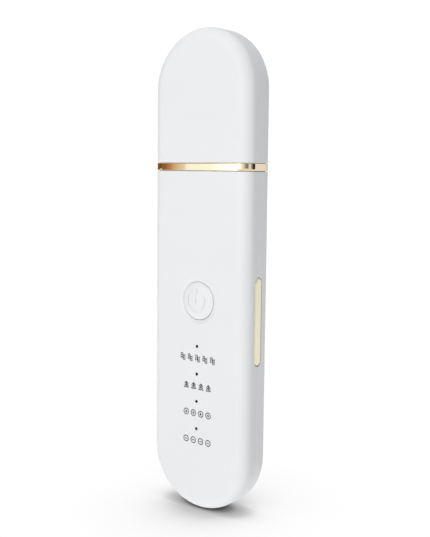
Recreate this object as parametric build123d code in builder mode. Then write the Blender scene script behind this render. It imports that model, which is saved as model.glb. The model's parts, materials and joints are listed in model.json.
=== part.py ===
from build123d import *
from math import asin, degrees
import os

# Ultrasonic skin scrubber with a pull-off cap. All lengths are in millimetres.
# Frame: +Z runs up the device, the front face looks towards -Y, and the origin is
# the centre of the bottom end.

os.makedirs("parts", exist_ok=True)

# ---- driving dimensions of the casing ----
length = 178.0
width = 44.5
thickness = 15.0
edge_radius = 4.5
wall = 1.6
half_width = width / 2
half_thickness = thickness / 2
front_face = -half_thickness
rear_face = half_thickness
front_inside = front_face + wall

# ---- gold ring and the levels around it ----
ring_bottom = 126.9
ring_height = 2.7
ring_thickness = 0.75
ring_inset = 0.05
trim_gap = 0.15
shell_top = ring_bottom - trim_gap
cap_rim = ring_bottom + ring_height + trim_gap
rim_chamfer = 0.15

# ---- seam between the two shells ----
seam_groove = 0.12
tongue_inset = 0.85
tongue_height = 1.2
fit_gap = 0.05
hook_levels = (45.0, 73.0 + 14.0, 108.0)
hook_half_height = 2.5

# ---- button and lights ----
button_z = 79.4
button_radius = 7.0
button_hole_radius = 7.2
button_proud = 0.7
button_sag = 1.2
button_travel = 0.3
mark_depth = 0.2
dish_radius = 8.5
dish_floor_radius = 7.6
dish_depth = 0.5
flange_radius = 8.2
light_levels = (62.4, 52.0, 41.6, 31.2)
light_radius = 0.5

# ---- side contact strip ----
strip_z = 73.0
strip_length = 32.0
strip_width = 3.9
strip_depth = 1.05
strip_gap = 0.15
strip_outside = half_width - 0.05

# ---- neck and blade ----
skirt_bottom = 112.0
skirt_inset = 1.75
collar_inset = 0.85
neck_inset = 1.85
neck_top = 141.0
cavity_half_width = 16.4
cavity_half_depth = 4.2
cavity_top = 138.0
blade_thickness = 0.8
blade_half_width = 16.0
blade_bottom = 115.0
blade_bend_z = 150.0
blade_bend_radius = 26.0
blade_bend_angle = 12.0
blade_tip_z = 169.5
blade_tip_half_width = 13.0
peg_x = 12.5
peg_z = 123.0
peg_radius = 1.2
piezo_z = 127.0
piezo_radius = 7.0
piezo_thickness = 2.0
cushion_depth = 1.6
cushion_height = 2.5
cushion_levels = (117.0, 134.5)
cushion_half_width = 14.0
cushion_gap_half_width = 6.0
neck_screw_x = 18.4
neck_screw_levels = (116.0, 122.8)
neck_screw_seat = 1.5

# ---- board and chassis ----
board_front = -2.6
board_rear = -1.6
board_half_width = 16.0
board_top = 108.0
board_tab_half_width = 6.5
board_tab_bottom = 3.4
chassis_front = -0.6
chassis_rear = 0.4
chassis_inset = 2.05
chassis_top = 110.0
ear_top = 119.0
chassis_screw_x = 18.3
chassis_screw_levels = (30.0, 100.0)
board_screw_places = ((-11.0, 17.0), (11.0, 17.0), (-13.0, 103.0), (13.0, 103.0))
window_half_width = 11.5
window_bottom = 75.5
window_top = 107.0

# ---- battery ----
cell_half_width = 15.0
cell_bottom = 24.0
cell_top = 71.5
cell_front = 0.6
cell_rear = 5.1

# ---- charging socket ----
socket_width = 8.94
socket_height = 3.2
socket_mouth = 0.9
socket_end = 8.3
socket_opening_width = 9.5
socket_opening_height = 3.7


def plane_at(y):
    """A plane across the device at depth y, seen from the front: x to the right, z up."""
    return Plane.XZ.offset(-y)


def rounded_slab(inset):
    """The capsule-shaped outside of the device, inset all round."""
    with BuildPart() as slab:
        with BuildSketch(Plane.XZ):
            with Locations((0, length / 2)):
                SlotOverall(length - 2 * inset, width - 2 * inset, rotation=90)
        extrude(amount=half_thickness - inset, both=True)
        rims = slab.faces().filter_by(Axis.Y).edges()
        fillet(rims, radius=edge_radius - inset)
    return slab.part


def slot_plate(inset, y_front, y_rear):
    """A flat plate of the capsule outline, inset all round, between two depths."""
    with BuildPart() as plate:
        with BuildSketch(plane_at(y_rear)):
            with Locations((0, length / 2)):
                SlotOverall(length - 2 * inset, width - 2 * inset, rotation=90)
        extrude(amount=y_rear - y_front)
    return plate.part


def cross_section(inset):
    """The device cut across, inset all round. Call it inside a sketch."""
    RectangleRounded(width - 2 * inset, thickness - 2 * inset, edge_radius - inset)


outside = rounded_slab(0)
hollow = rounded_slab(wall)

# The handle casing before it is cut into a front and a rear half: open at the top,
# with the outer edge of its mouth broken where it meets the ring.
with BuildPart() as casing:
    add(outside)
    add(hollow, mode=Mode.SUBTRACT)
    split(bisect_by=Plane.XY.offset(shell_top), keep=Keep.BOTTOM)
    mouth = casing.faces().filter_by(Axis.Z).sort_by(Axis.Z)[-1]
    chamfer(mouth.outer_wire().edges(), length=rim_chamfer)
    # The recess for the contact strip, with a square hole for its leg.
    with BuildSketch(Plane.YZ.offset(half_width)):
        with Locations((0, strip_z)):
            SlotOverall(strip_length + 2 * strip_gap, strip_width + 2 * strip_gap, rotation=90)
    extrude(amount=-(strip_depth + fit_gap + half_width - strip_outside), mode=Mode.SUBTRACT)
    with BuildSketch(Plane.YZ.offset(half_width)):
        with Locations((0, strip_z)):
            Rectangle(2.6, 4.3)
    extrude(amount=-wall - 1, mode=Mode.SUBTRACT)
    # The opening of the charging socket in the middle of the bottom end.
    with BuildSketch(Plane.XY.offset(-1)):
        SlotOverall(socket_opening_width, socket_opening_height)
    extrude(amount=4, mode=Mode.SUBTRACT)

# ---- cap ----
with BuildPart() as cap_shell:
    add(outside)
    add(hollow, mode=Mode.SUBTRACT)
    split(bisect_by=Plane.XY.offset(cap_rim), keep=Keep.TOP)
    cap_mouth = cap_shell.faces().filter_by(Axis.Z).sort_by(Axis.Z)[0]
    chamfer(cap_mouth.outer_wire().edges(), length=rim_chamfer)
cap_shell.part.label = "cap_shell"
export_step(cap_shell.part, "parts/cap_shell.step")

# ---- front shell: button hole in a shallow dish, four light holes, screw bosses ----
with BuildPart() as front_shell:
    add(casing.part)
    split(bisect_by=Plane.XZ, keep=Keep.TOP)
    # The rebate takes the rear shell's tongue, and the groove draws the seam outside.
    add(slot_plate(tongue_inset - fit_gap, -tongue_height - 0.1, 0), mode=Mode.SUBTRACT)
    with BuildSketch(Plane.XZ):
        with Locations((0, length / 2)):
            SlotOverall(length + 2, width + 2, rotation=90)
            SlotOverall(length - 2 * seam_groove, width - 2 * seam_groove, rotation=90, mode=Mode.SUBTRACT)
    extrude(amount=seam_groove / 2, mode=Mode.SUBTRACT)
    # The guide collar round the button's flange, inside.
    with BuildSketch(plane_at(-4.6)):
        with Locations((0, button_z)):
            Circle(flange_radius + 1.0)
            Circle(flange_radius + 0.2, mode=Mode.SUBTRACT)
    extrude(amount=1.5)
    # The button hole, and the dish around it.
    with BuildSketch(plane_at(front_face)):
        with Locations((0, button_z)):
            Circle(button_hole_radius)
    extrude(amount=-wall - 0.5, mode=Mode.SUBTRACT)
    with BuildSketch(plane_at(front_face)):
        with Locations((0, button_z)):
            Circle(dish_radius)
    with BuildSketch(plane_at(front_face + dish_depth)):
        with Locations((0, button_z)):
            Circle(dish_floor_radius)
    loft(mode=Mode.SUBTRACT)
    # The light holes.
    with BuildSketch(plane_at(front_face)):
        with Locations([(0, z) for z in light_levels]):
            Circle(light_radius + fit_gap)
    extrude(amount=-wall - 0.5, mode=Mode.SUBTRACT)
    # The bosses that the chassis is screwed to.
    boss_places = [(x, z) for x in (-chassis_screw_x, chassis_screw_x) for z in chassis_screw_levels]
    with BuildSketch(plane_at(chassis_front)):
        with Locations(boss_places):
            Circle(2.0)
    extrude(amount=5.6)
    with BuildSketch(plane_at(chassis_front)):
        with Locations(boss_places):
            Circle(0.85)
    extrude(amount=4.2, mode=Mode.SUBTRACT)
    # Pockets for the rear shell's hooks.
    for side in (-1, 1):
        with BuildSketch(plane_at(-2.25)):
            with Locations([(side * 20.7, z) for z in hook_levels]):
                Rectangle(0.9, 2 * hook_half_height + 0.4)
        extrude(amount=0.9, mode=Mode.SUBTRACT)
front_shell.part.label = "front_shell"
export_step(front_shell.part, "parts/front_shell.step")

# ---- rear shell: tongue along the seam, hooks, and two posts that press on the chassis ----
with BuildPart() as rear_shell:
    add(casing.part)
    split(bisect_by=Plane.XZ, keep=Keep.BOTTOM)
    with BuildSketch(Plane.XZ):
        with Locations((0, length / 2)):
            SlotOverall(length + 2, width + 2, rotation=90)
            SlotOverall(length - 2 * seam_groove, width - 2 * seam_groove, rotation=90, mode=Mode.SUBTRACT)
    extrude(amount=-seam_groove / 2, mode=Mode.SUBTRACT)
    # The tongue starts inside the wall, so that the two are one solid.
    with BuildSketch(plane_at(0.4)):
        with Locations((0, length / 2)):
            SlotOverall(length - 2 * tongue_inset, width - 2 * tongue_inset, rotation=90)
            SlotOverall(length - 2 * wall, width - 2 * wall, rotation=90, mode=Mode.SUBTRACT)
        with Locations((0, length / 2 + shell_top)):
            Rectangle(width, length, mode=Mode.SUBTRACT)
        with Locations((0, 0)):
            Rectangle(socket_opening_width + 2, 6, mode=Mode.SUBTRACT)
        with Locations((half_width, strip_z)):
            Rectangle(5, strip_length + 2, mode=Mode.SUBTRACT)
    extrude(amount=0.4 + tongue_height)
    for side in (-1, 1):
        # Each hook is an arm with a barb at its end.
        with BuildSketch(plane_at(3.0)):
            with Locations([(side * 20.3, z) for z in hook_levels]):
                Rectangle(1.2, 2 * hook_half_height)
        extrude(amount=2.7)
        with BuildSketch(plane_at(0.5)):
            with Locations([(side * 20.05, z) for z in hook_levels]):
                Rectangle(0.7, 2 * hook_half_height)
        extrude(amount=3.5)
        with BuildSketch(plane_at(-2.4)):
            with Locations([(side * 20.6, z) for z in hook_levels]):
                Rectangle(0.8, 2 * hook_half_height)
        extrude(amount=0.6)
    with BuildSketch(plane_at(6.0)):
        with Locations((-chassis_screw_x, 65.0), (chassis_screw_x, 52.0)):
            Circle(1.6)
    extrude(amount=6.0 - chassis_rear - fit_gap)
rear_shell.part.label = "rear_shell"
export_step(rear_shell.part, "parts/rear_shell.step")

# ---- gold ring: a hoop on the neck's collar, flush with the casing ----
with BuildPart() as trim_ring:
    with BuildSketch(Plane.XY.offset(ring_bottom)):
        cross_section(ring_inset)
        RectangleRounded(
            width - 2 * (ring_inset + ring_thickness),
            thickness - 2 * (ring_inset + ring_thickness),
            edge_radius - ring_inset - ring_thickness,
            mode=Mode.SUBTRACT,
        )
    extrude(amount=ring_height)
    for end in (0, -1):
        ring_end = trim_ring.faces().filter_by(Axis.Z).sort_by(Axis.Z)[end]
        fillet(ring_end.outer_wire().edges(), radius=0.2)
trim_ring.part.label = "trim_ring"
export_step(trim_ring.part, "parts/trim_ring.step")

# The neck before it is cut into halves: a skirt inside the casing, a collar for the
# ring, and the part that the cap slides over.
with BuildPart() as neck:
    with BuildSketch(Plane.XY.offset(skirt_bottom)):
        cross_section(skirt_inset)
    extrude(amount=shell_top - skirt_bottom)
    with BuildSketch(Plane.XY.offset(shell_top)):
        cross_section(collar_inset)
    extrude(amount=cap_rim - shell_top)
    with BuildSketch(Plane.XY.offset(cap_rim)):
        cross_section(neck_inset)
    extrude(amount=neck_top - cap_rim)
    fillet(neck.faces().sort_by(Axis.Z)[-1].edges(), radius=1.2)
    # Two thin ribs on each face rub in the cap and hold it on.
    with BuildSketch(Plane.XY.offset(131.0)):
        with GridLocations(20.0, thickness - 2 * neck_inset, 2, 2):
            Rectangle(1.6, 0.4)
    extrude(amount=7.5)
    # The cavity for the ceramic, open at the bottom, and the seat of the blade's seal.
    with BuildSketch(Plane.XY.offset(skirt_bottom)):
        Rectangle(2 * cavity_half_width, 2 * cavity_half_depth)
    extrude(amount=cavity_top - skirt_bottom, mode=Mode.SUBTRACT)
    with BuildSketch(Plane.XY.offset(cavity_top)):
        RectangleRounded(34.6, 4.2, 2.0)
    extrude(amount=neck_top - cavity_top, mode=Mode.SUBTRACT)
    # The recess for the chassis ears.
    with BuildSketch(plane_at(chassis_rear + fit_gap)):
        with Locations((-18.35, skirt_bottom + 3.6), (18.35, skirt_bottom + 3.6)):
            Rectangle(3.9, 7.4)
    extrude(amount=chassis_rear - chassis_front + 2 * fit_gap, mode=Mode.SUBTRACT)

neck_screw_places = [(x, z) for x in (-neck_screw_x, neck_screw_x) for z in neck_screw_levels]
rib_centres = [z + cushion_height / 2 for z in cushion_levels]
cushion_outside = blade_thickness / 2 + cushion_depth

# ---- front half of the neck: ribs behind the cushions, two pegs through the blade ----
with BuildPart() as neck_front:
    add(neck.part)
    split(bisect_by=Plane.XZ, keep=Keep.TOP)
    with BuildSketch(plane_at(-cushion_outside)):
        with Locations([(0, z) for z in rib_centres]):
            Rectangle(2 * cushion_half_width, cushion_height)
    extrude(amount=cavity_half_depth - cushion_outside + 0.3)
    with BuildSketch(plane_at(1.0)):
        with Locations((-peg_x, peg_z), (peg_x, peg_z)):
            Circle(peg_radius)
    extrude(amount=cavity_half_depth + 1.3)
    with BuildSketch(plane_at(0)):
        with Locations(neck_screw_places):
            Circle(0.85)
    extrude(amount=4.3, mode=Mode.SUBTRACT)
neck_front.part.label = "neck_front"
export_step(neck_front.part, "parts/neck_front.step")

# ---- rear half of the neck: the lower rib is in two lengths, so that wires pass ----
with BuildPart() as neck_rear:
    add(neck.part)
    split(bisect_by=Plane.XZ, keep=Keep.BOTTOM)
    with BuildSketch(plane_at(cavity_half_depth + 0.3)):
        with Locations([(0, z) for z in rib_centres]):
            Rectangle(2 * cushion_half_width, cushion_height)
        with Locations((0, rib_centres[0])):
            Rectangle(2 * cushion_gap_half_width, cushion_height, mode=Mode.SUBTRACT)
    extrude(amount=cavity_half_depth + 0.3 - cushion_outside)
    # The screw heads sit in deep counterbores.
    with BuildSketch(plane_at(rear_face)):
        with Locations(neck_screw_places):
            Circle(1.9)
    extrude(amount=rear_face - neck_screw_seat, mode=Mode.SUBTRACT)
    with BuildSketch(plane_at(neck_screw_seat)):
        with Locations(neck_screw_places):
            Circle(0.95)
    extrude(amount=neck_screw_seat, mode=Mode.SUBTRACT)
neck_rear.part.label = "neck_rear"
export_step(neck_rear.part, "parts/neck_rear.step")


def screws(places, head_y, head_height, head_radius, shank_length, towards_front):
    """Pan-head screws along Y with a cross recess: the head stands on the seat at head_y."""
    away = 1 if towards_front else -1
    with BuildPart() as group:
        with BuildSketch(plane_at(head_y)):
            with Locations(places):
                Circle(head_radius)
        extrude(amount=-away * head_height)
        crowns = group.faces().filter_by(Axis.Y).sort_by(Axis.Y)
        crowns = crowns[-len(places):] if towards_front else crowns[:len(places)]
        fillet(crowns.edges(), radius=0.3)
        with BuildSketch(plane_at(head_y)):
            with Locations(places):
                Circle(0.8)
        extrude(amount=away * shank_length)
        with BuildSketch(plane_at(head_y + away * head_height)):
            with Locations(places):
                Rectangle(1.6, 0.35)
                Rectangle(0.35, 1.6)
        extrude(amount=away * 0.5, mode=Mode.SUBTRACT)
    return group.part


# ---- screws that close the neck over the chassis ----
with BuildPart() as neck_screws:
    add(screws(neck_screw_places, neck_screw_seat, 1.1, 1.7, 5.4, True))
neck_screws.part.label = "neck_screws"
export_step(neck_screws.part, "parts/neck_screws.step")

# ---- blade: steel sheet, leaning forward near its tip ----
# Its side view is a straight root, one bend and a straight end. Its front view tapers
# to a tip with round corners. The blade is what the two views have in common.
with BuildPart() as blade:
    with BuildSketch(Plane.YZ):
        with BuildLine():
            back = Line((blade_thickness / 2, blade_bottom), (blade_thickness / 2, blade_bend_z))
            back_bend = JernArc(back @ 1, back % 1, blade_bend_radius + blade_thickness / 2, blade_bend_angle)
            back_end = PolarLine(back_bend @ 1, 22, direction=back_bend % 1)
            front = Line((-blade_thickness / 2, blade_bottom), (-blade_thickness / 2, blade_bend_z))
            front_bend = JernArc(front @ 1, front % 1, blade_bend_radius - blade_thickness / 2, blade_bend_angle)
            front_end = PolarLine(front_bend @ 1, 22, direction=front_bend % 1)
            Line(back @ 0, front @ 0)
            Line(back_end @ 1, front_end @ 1)
        make_face()
    extrude(amount=blade_half_width, both=True)
    with BuildSketch(Plane.XZ) as blade_outline:
        with BuildLine():
            Polyline(
                (-blade_half_width, blade_bottom),
                (blade_half_width, blade_bottom),
                (blade_half_width, blade_bend_z),
                (blade_tip_half_width, blade_tip_z),
                (-blade_tip_half_width, blade_tip_z),
                (-blade_half_width, blade_bend_z),
                close=True,
            )
        make_face()
        fillet(blade_outline.vertices().group_by(Axis.Y)[-1], radius=3.5)
        fillet(blade_outline.vertices().group_by(Axis.Y)[0], radius=2.0)
        with Locations((-peg_x, peg_z), (peg_x, peg_z)):
            Circle(peg_radius + 0.1, mode=Mode.SUBTRACT)
    extrude(amount=12, both=True, mode=Mode.INTERSECT)
blade.part.label = "blade"
export_step(blade.part, "parts/blade.step")

# ---- silicone collar where the blade leaves the neck ----
with BuildPart() as blade_seal:
    with BuildSketch(Plane.XY.offset(cavity_top + fit_gap)):
        RectangleRounded(34.4, 4.0, 1.9)
        Rectangle(2 * blade_half_width + 0.1, blade_thickness + 0.1, mode=Mode.SUBTRACT)
    extrude(amount=neck_top + 0.6 - cavity_top)
    seal_top = blade_seal.faces().sort_by(Axis.Z)[-1]
    fillet(seal_top.outer_wire().edges(), radius=0.6)
blade_seal.part.label = "blade_seal"
export_step(blade_seal.part, "parts/blade_seal.step")

# ---- silicone bars between the blade and the ribs of the neck ----
with BuildPart() as blade_cushions:
    with BuildSketch(plane_at(-blade_thickness / 2)):
        with Locations([(0, z) for z in rib_centres]):
            Rectangle(2 * cushion_half_width, cushion_height)
    extrude(amount=cushion_depth)
    with BuildSketch(plane_at(cushion_outside)):
        with Locations([(0, z) for z in rib_centres]):
            Rectangle(2 * cushion_half_width, cushion_height)
        with Locations((0, rib_centres[0])):
            Rectangle(2 * cushion_gap_half_width, cushion_height, mode=Mode.SUBTRACT)
    extrude(amount=cushion_depth)
blade_cushions.part.label = "blade_cushions"
export_step(blade_cushions.part, "parts/blade_cushions.step")

# ---- piezo ceramic, bonded to the back of the blade ----
with BuildPart() as piezo_ring:
    with BuildSketch(plane_at(blade_thickness / 2 + piezo_thickness)):
        with Locations((0, piezo_z)):
            Circle(piezo_radius)
            Circle(2.5, mode=Mode.SUBTRACT)
    extrude(amount=piezo_thickness)
piezo_ring.part.label = "piezo_ring"
export_step(piezo_ring.part, "parts/piezo_ring.step")


def wire_down(x, start_y, start_z, end_z, radius):
    """A wire that leaves the blade backwards, runs down and turns forward to the board."""
    run_y = 3.4
    with BuildPart() as wire:
        with BuildLine() as route:
            FilletPolyline(
                (x, start_y, start_z),
                (x, run_y, start_z),
                (x, run_y, end_z),
                (x, board_rear, end_z),
                radius=[0.45, 2.0],
            )
        with BuildSketch(Plane(origin=(x, start_y, start_z), x_dir=(1, 0, 0), z_dir=(0, 1, 0))):
            Circle(radius)
        sweep(path=route.line)
    return wire.part


# ---- wires from the ceramic and from the blade to the board ----
with BuildPart() as piezo_leads:
    for x in (-4.6, 4.6):
        add(wire_down(x, blade_thickness / 2 + piezo_thickness, piezo_z, 104.0, 0.35))
piezo_leads.part.label = "piezo_leads"
export_step(piezo_leads.part, "parts/piezo_leads.step")

with BuildPart() as blade_lead:
    add(wire_down(0, blade_thickness / 2, 117.2, 104.0, 0.35))
blade_lead.part.label = "blade_lead"
export_step(blade_lead.part, "parts/blade_lead.step")

# ---- chassis: ladder frame with battery rails, board posts and two ears ----
with BuildPart() as chassis:
    with BuildSketch(plane_at(chassis_rear)):
        with Locations((0, length / 2)):
            SlotOverall(length - 2 * chassis_inset, width - 2 * chassis_inset, rotation=90)
        with Locations((0, length / 2 + chassis_top)):
            Rectangle(width, length, mode=Mode.SUBTRACT)
        with Locations((-18.35, 112.0), (18.35, 112.0)):
            Rectangle(3.5, 14.0)
        with Locations((0, (window_bottom + window_top) / 2)):
            Rectangle(2 * window_half_width, window_top - window_bottom, mode=Mode.SUBTRACT)
        with Locations((0, 5.0)):
            Rectangle(13.0, 10.0, mode=Mode.SUBTRACT)
        with Locations([(x, z) for x in (-20.2, 20.2) for z in hook_levels]):
            Rectangle(2.4, 2 * hook_half_height + 1.0, mode=Mode.SUBTRACT)
        with Locations((20.2, strip_z)):
            Rectangle(3.6, 7.0, mode=Mode.SUBTRACT)
        with Locations(boss_places):
            Circle(0.95, mode=Mode.SUBTRACT)
        with Locations([(x, neck_screw_levels[0]) for x in (-neck_screw_x, neck_screw_x)]):
            Circle(0.95, mode=Mode.SUBTRACT)
    extrude(amount=chassis_rear - chassis_front)
    # Rails beside and below the battery.
    with BuildSketch(plane_at(3.4)):
        with Locations((-15.9, 47.5), (15.9, 47.5)):
            Rectangle(1.0, 49.0)
        with Locations((0, 22.9)):
            Rectangle(24.0, 1.0)
    extrude(amount=3.4)
    # Posts for the board.
    with BuildSketch(plane_at(chassis_rear)):
        with Locations(board_screw_places):
            Circle(2.2)
    extrude(amount=chassis_rear - board_rear)
    with BuildSketch(plane_at(chassis_rear)):
        with Locations(board_screw_places):
            Circle(0.85)
    extrude(amount=chassis_rear - board_rear, mode=Mode.SUBTRACT)
chassis.part.label = "chassis"
export_step(chassis.part, "parts/chassis.step")

# ---- screws from the chassis into the front shell ----
with BuildPart() as chassis_screws:
    add(screws(boss_places, chassis_rear, 1.0, 1.6, 4.6, True))
chassis_screws.part.label = "chassis_screws"
export_step(chassis_screws.part, "parts/chassis_screws.step")

# ---- circuit board, narrow at the charging socket ----
with BuildPart() as main_board:
    with BuildSketch(plane_at(board_rear)):
        with Locations((0, length / 2)):
            SlotOverall(length - 12.5, 2 * board_half_width, rotation=90)
        with Locations((0, length / 2 + board_top)):
            Rectangle(width, length, mode=Mode.SUBTRACT)
        with Locations((0, (board_tab_bottom + 12.0) / 2)):
            Rectangle(2 * board_tab_half_width, 12.0 - board_tab_bottom)
        with Locations(board_screw_places):
            Circle(0.9, mode=Mode.SUBTRACT)
    extrude(amount=board_rear - board_front)
main_board.part.label = "main_board"
export_step(main_board.part, "parts/main_board.step")

# ---- screws from the board into the chassis ----
with BuildPart() as board_screws:
    add(screws(board_screw_places, board_front, 0.9, 1.5, 2.9, False))
board_screws.part.label = "board_screws"
export_step(board_screws.part, "parts/board_screws.step")

# ---- push switch under the button ----
with BuildPart() as tact_switch:
    with BuildSketch(plane_at(board_front)):
        with Locations((0, button_z)):
            Rectangle(5.2, 5.2)
    extrude(amount=1.5)
    with BuildSketch(plane_at(board_front)):
        with Locations((0, button_z)):
            with GridLocations(6.4, 3.6, 2, 2):
                Rectangle(1.4, 0.7)
    extrude(amount=0.3)
    with BuildSketch(plane_at(board_front - 1.5)):
        with Locations((0, button_z)):
            Circle(1.1)
    extrude(amount=-0.9, mode=Mode.SUBTRACT)
tact_switch.part.label = "tact_switch"
export_step(tact_switch.part, "parts/tact_switch.step")

switch_top = board_front - 1.5
plunger_top = switch_top - 0.6

with BuildPart() as switch_plunger:
    with BuildSketch(plane_at(switch_top + 0.5)):
        with Locations((0, button_z)):
            Circle(1.0)
    extrude(amount=switch_top + 0.5 - plunger_top)
switch_plunger.part.label = "switch_plunger"
export_step(switch_plunger.part, "parts/switch_plunger.step")

# ---- power button: a domed disc with an engraved power mark, a flange and a stem ----
button_crown = front_face - button_proud
button_edge = button_crown + button_sag
dome_radius = (button_radius ** 2 + button_sag ** 2) / (2 * button_sag)
dome_angle = degrees(asin(button_radius / dome_radius))
dome_centre = button_crown + dome_radius
flange_front = front_inside + 0.05
flange_rear = flange_front + 0.6

# The mark is a ring, open at the top, with a bar in the opening. It keeps its depth
# over the dome because a slightly smaller ball is taken out of it.
with BuildPart() as power_mark:
    with BuildSketch(plane_at(button_crown - 0.2)):
        with Locations((0, button_z)):
            Circle(4.15)
            Circle(3.65, mode=Mode.SUBTRACT)
        with Locations((0, button_z + 3.4)):
            Rectangle(2.6, 3.4, mode=Mode.SUBTRACT)
        with Locations((0, button_z + 2.2)):
            SlotOverall(5.0, 0.5, rotation=90)
    extrude(amount=-1.2)
    with Locations((0, dome_centre, button_z)):
        Sphere(dome_radius - mark_depth, mode=Mode.SUBTRACT)

with BuildPart() as power_button:
    with BuildSketch(Plane.YZ):
        with BuildLine():
            dome = CenterArc((dome_centre, button_z), dome_radius, 180 - dome_angle, dome_angle)
            Polyline(
                dome @ 0,
                (flange_front, button_z + button_radius),
                (flange_front, button_z),
                dome @ 1,
            )
        make_face()
    revolve(axis=Axis((0, 0, button_z), (0, 1, 0)))
    rim = power_button.edges().filter_by(lambda edge: edge.is_closed).sort_by(Axis.Y)[0]
    fillet(rim, radius=0.25)
    with BuildSketch(plane_at(flange_rear)):
        with Locations((0, button_z)):
            Circle(flange_radius)
    extrude(amount=flange_rear - flange_front)
    with BuildSketch(plane_at(plunger_top - 0.05)):
        with Locations((0, button_z)):
            Circle(1.6)
    extrude(amount=plunger_top - 0.05 - flange_rear)
    add(power_mark.part, mode=Mode.SUBTRACT)
power_button.part.label = "power_button"
export_step(power_button.part, "parts/power_button.step")

# ---- clear moulding: a rail behind the shell with four pins that reach the face ----
rail_top = max(light_levels) + 2.3
rail_bottom = min(light_levels) - 2.3
with BuildPart() as light_guide:
    with BuildSketch(plane_at(-5.0)):
        with Locations((0, (rail_top + rail_bottom) / 2)):
            Rectangle(2.8, rail_top - rail_bottom)
    extrude(amount=0.85)
    with BuildSketch(plane_at(-5.4)):
        with Locations([(0, z) for z in light_levels]):
            Circle(light_radius)
    extrude(amount=-5.4 - front_face)
    with BuildSketch(plane_at(-3.5)):
        with Locations([(0, z) for z in light_levels]):
            Circle(0.7)
    extrude(amount=1.7)
light_guide.part.label = "light_guide"
export_step(light_guide.part, "parts/light_guide.step")

# ---- dark block with a well over each light ----
with BuildPart() as light_shroud:
    with BuildSketch(plane_at(board_front)):
        with Locations((0, (rail_top + rail_bottom) / 2)):
            Rectangle(5.2, rail_top - rail_bottom + 3.0)
        with Locations([(0, z) for z in light_levels]):
            Circle(1.1, mode=Mode.SUBTRACT)
    extrude(amount=board_front + 5.0)
light_shroud.part.label = "light_shroud"
export_step(light_shroud.part, "parts/light_shroud.step")

with BuildPart() as mode_leds:
    with BuildSketch(plane_at(board_front)):
        with Locations([(0, z) for z in light_levels]):
            Rectangle(1.6, 0.8)
    extrude(amount=0.6)
mode_leds.part.label = "mode_leds"
export_step(mode_leds.part, "parts/mode_leds.step")


def chip(x, z, body_x, body_z, height, legs_per_side):
    """A chip on the front of the board, with legs along its left and right sides."""
    with BuildPart() as package:
        with BuildSketch(plane_at(board_front - 0.1)):
            with Locations((x, z)):
                Rectangle(body_x, body_z)
        extrude(amount=height - 0.1)
        with BuildSketch(plane_at(board_front)):
            with Locations((x, z)):
                with GridLocations(body_x + 0.6, 1.27, 2, legs_per_side):
                    Rectangle(1.4, 0.42)
        extrude(amount=0.25)
    return package.part


with BuildPart() as control_chip:
    add(chip(0, 95.0, 3.9, 9.9, 1.5, 7))
control_chip.part.label = "control_chip"
export_step(control_chip.part, "parts/control_chip.step")

with BuildPart() as charge_chip:
    add(chip(-7.0, 21.0, 3.9, 4.9, 1.5, 4))
charge_chip.part.label = "charge_chip"
export_step(charge_chip.part, "parts/charge_chip.step")

with BuildPart() as power_transistors:
    for x in (-9.0, 9.0):
        add(chip(x, 95.0, 4.5, 2.6, 1.5, 2))
power_transistors.part.label = "power_transistors"
export_step(power_transistors.part, "parts/power_transistors.step")

# ---- step-up transformer: a two-window core around a flat coil ----
transformer_z = 95.0
core_half_depth = 2.6
core_rear = 4.4
with BuildPart() as transformer_core:
    with BuildSketch(Plane.XY.offset(transformer_z - core_half_depth)):
        with Locations((0, (board_rear + core_rear) / 2)):
            Rectangle(12.4, core_rear - board_rear)
        for side in (-1, 1):
            with Locations((side * 3.15, (board_rear + core_rear) / 2)):
                Rectangle(3.1, core_rear - board_rear - 2.8, mode=Mode.SUBTRACT)
    extrude(amount=2 * core_half_depth)
transformer_core.part.label = "transformer_core"
export_step(transformer_core.part, "parts/transformer_core.step")

with BuildPart() as transformer_coil:
    with BuildSketch(plane_at(core_rear - 1.5)):
        with Locations((0, transformer_z)):
            RectangleRounded(9.2, 10.8, 1.5)
            Rectangle(3.3, 2 * core_half_depth + 0.1, mode=Mode.SUBTRACT)
    extrude(amount=core_rear - board_rear - 3.0)
transformer_coil.part.label = "transformer_coil"
export_step(transformer_coil.part, "parts/transformer_coil.step")

# ---- tuning coil: a drum core with its winding in the waist ----
with BuildPart() as tuning_coil:
    with BuildSketch(plane_at(board_rear + 4.0)):
        with Locations((-7.6, 82.0)):
            Circle(3.0)
    extrude(amount=4.0)
    for level in (board_rear + 0.8, board_rear + 4.0):
        with BuildSketch(plane_at(level)):
            with Locations((-7.6, 82.0)):
                Circle(3.3)
        extrude(amount=0.8)
tuning_coil.part.label = "tuning_coil"
export_step(tuning_coil.part, "parts/tuning_coil.step")

with BuildPart() as bulk_capacitors:
    with BuildSketch(plane_at(board_rear + 4.8)):
        with Locations((7.6, 79.5), (7.6, 84.5)):
            Circle(2.1)
    extrude(amount=4.4)
    with BuildSketch(plane_at(board_rear + 0.4)):
        with Locations((7.6, 79.5), (7.6, 84.5)):
            Rectangle(4.4, 4.4)
    extrude(amount=0.4)
bulk_capacitors.part.label = "bulk_capacitors"
export_step(bulk_capacitors.part, "parts/bulk_capacitors.step")

# ---- battery: pouch cell, its guard board, and the tape that holds it ----
with BuildPart() as battery_cell:
    with BuildSketch(Plane.XY.offset(cell_bottom)):
        with Locations((0, (cell_front + cell_rear) / 2)):
            RectangleRounded(2 * cell_half_width, cell_rear - cell_front, 1.4)
    extrude(amount=cell_top - cell_bottom)
battery_cell.part.label = "battery_cell"
export_step(battery_cell.part, "parts/battery_cell.step")

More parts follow.
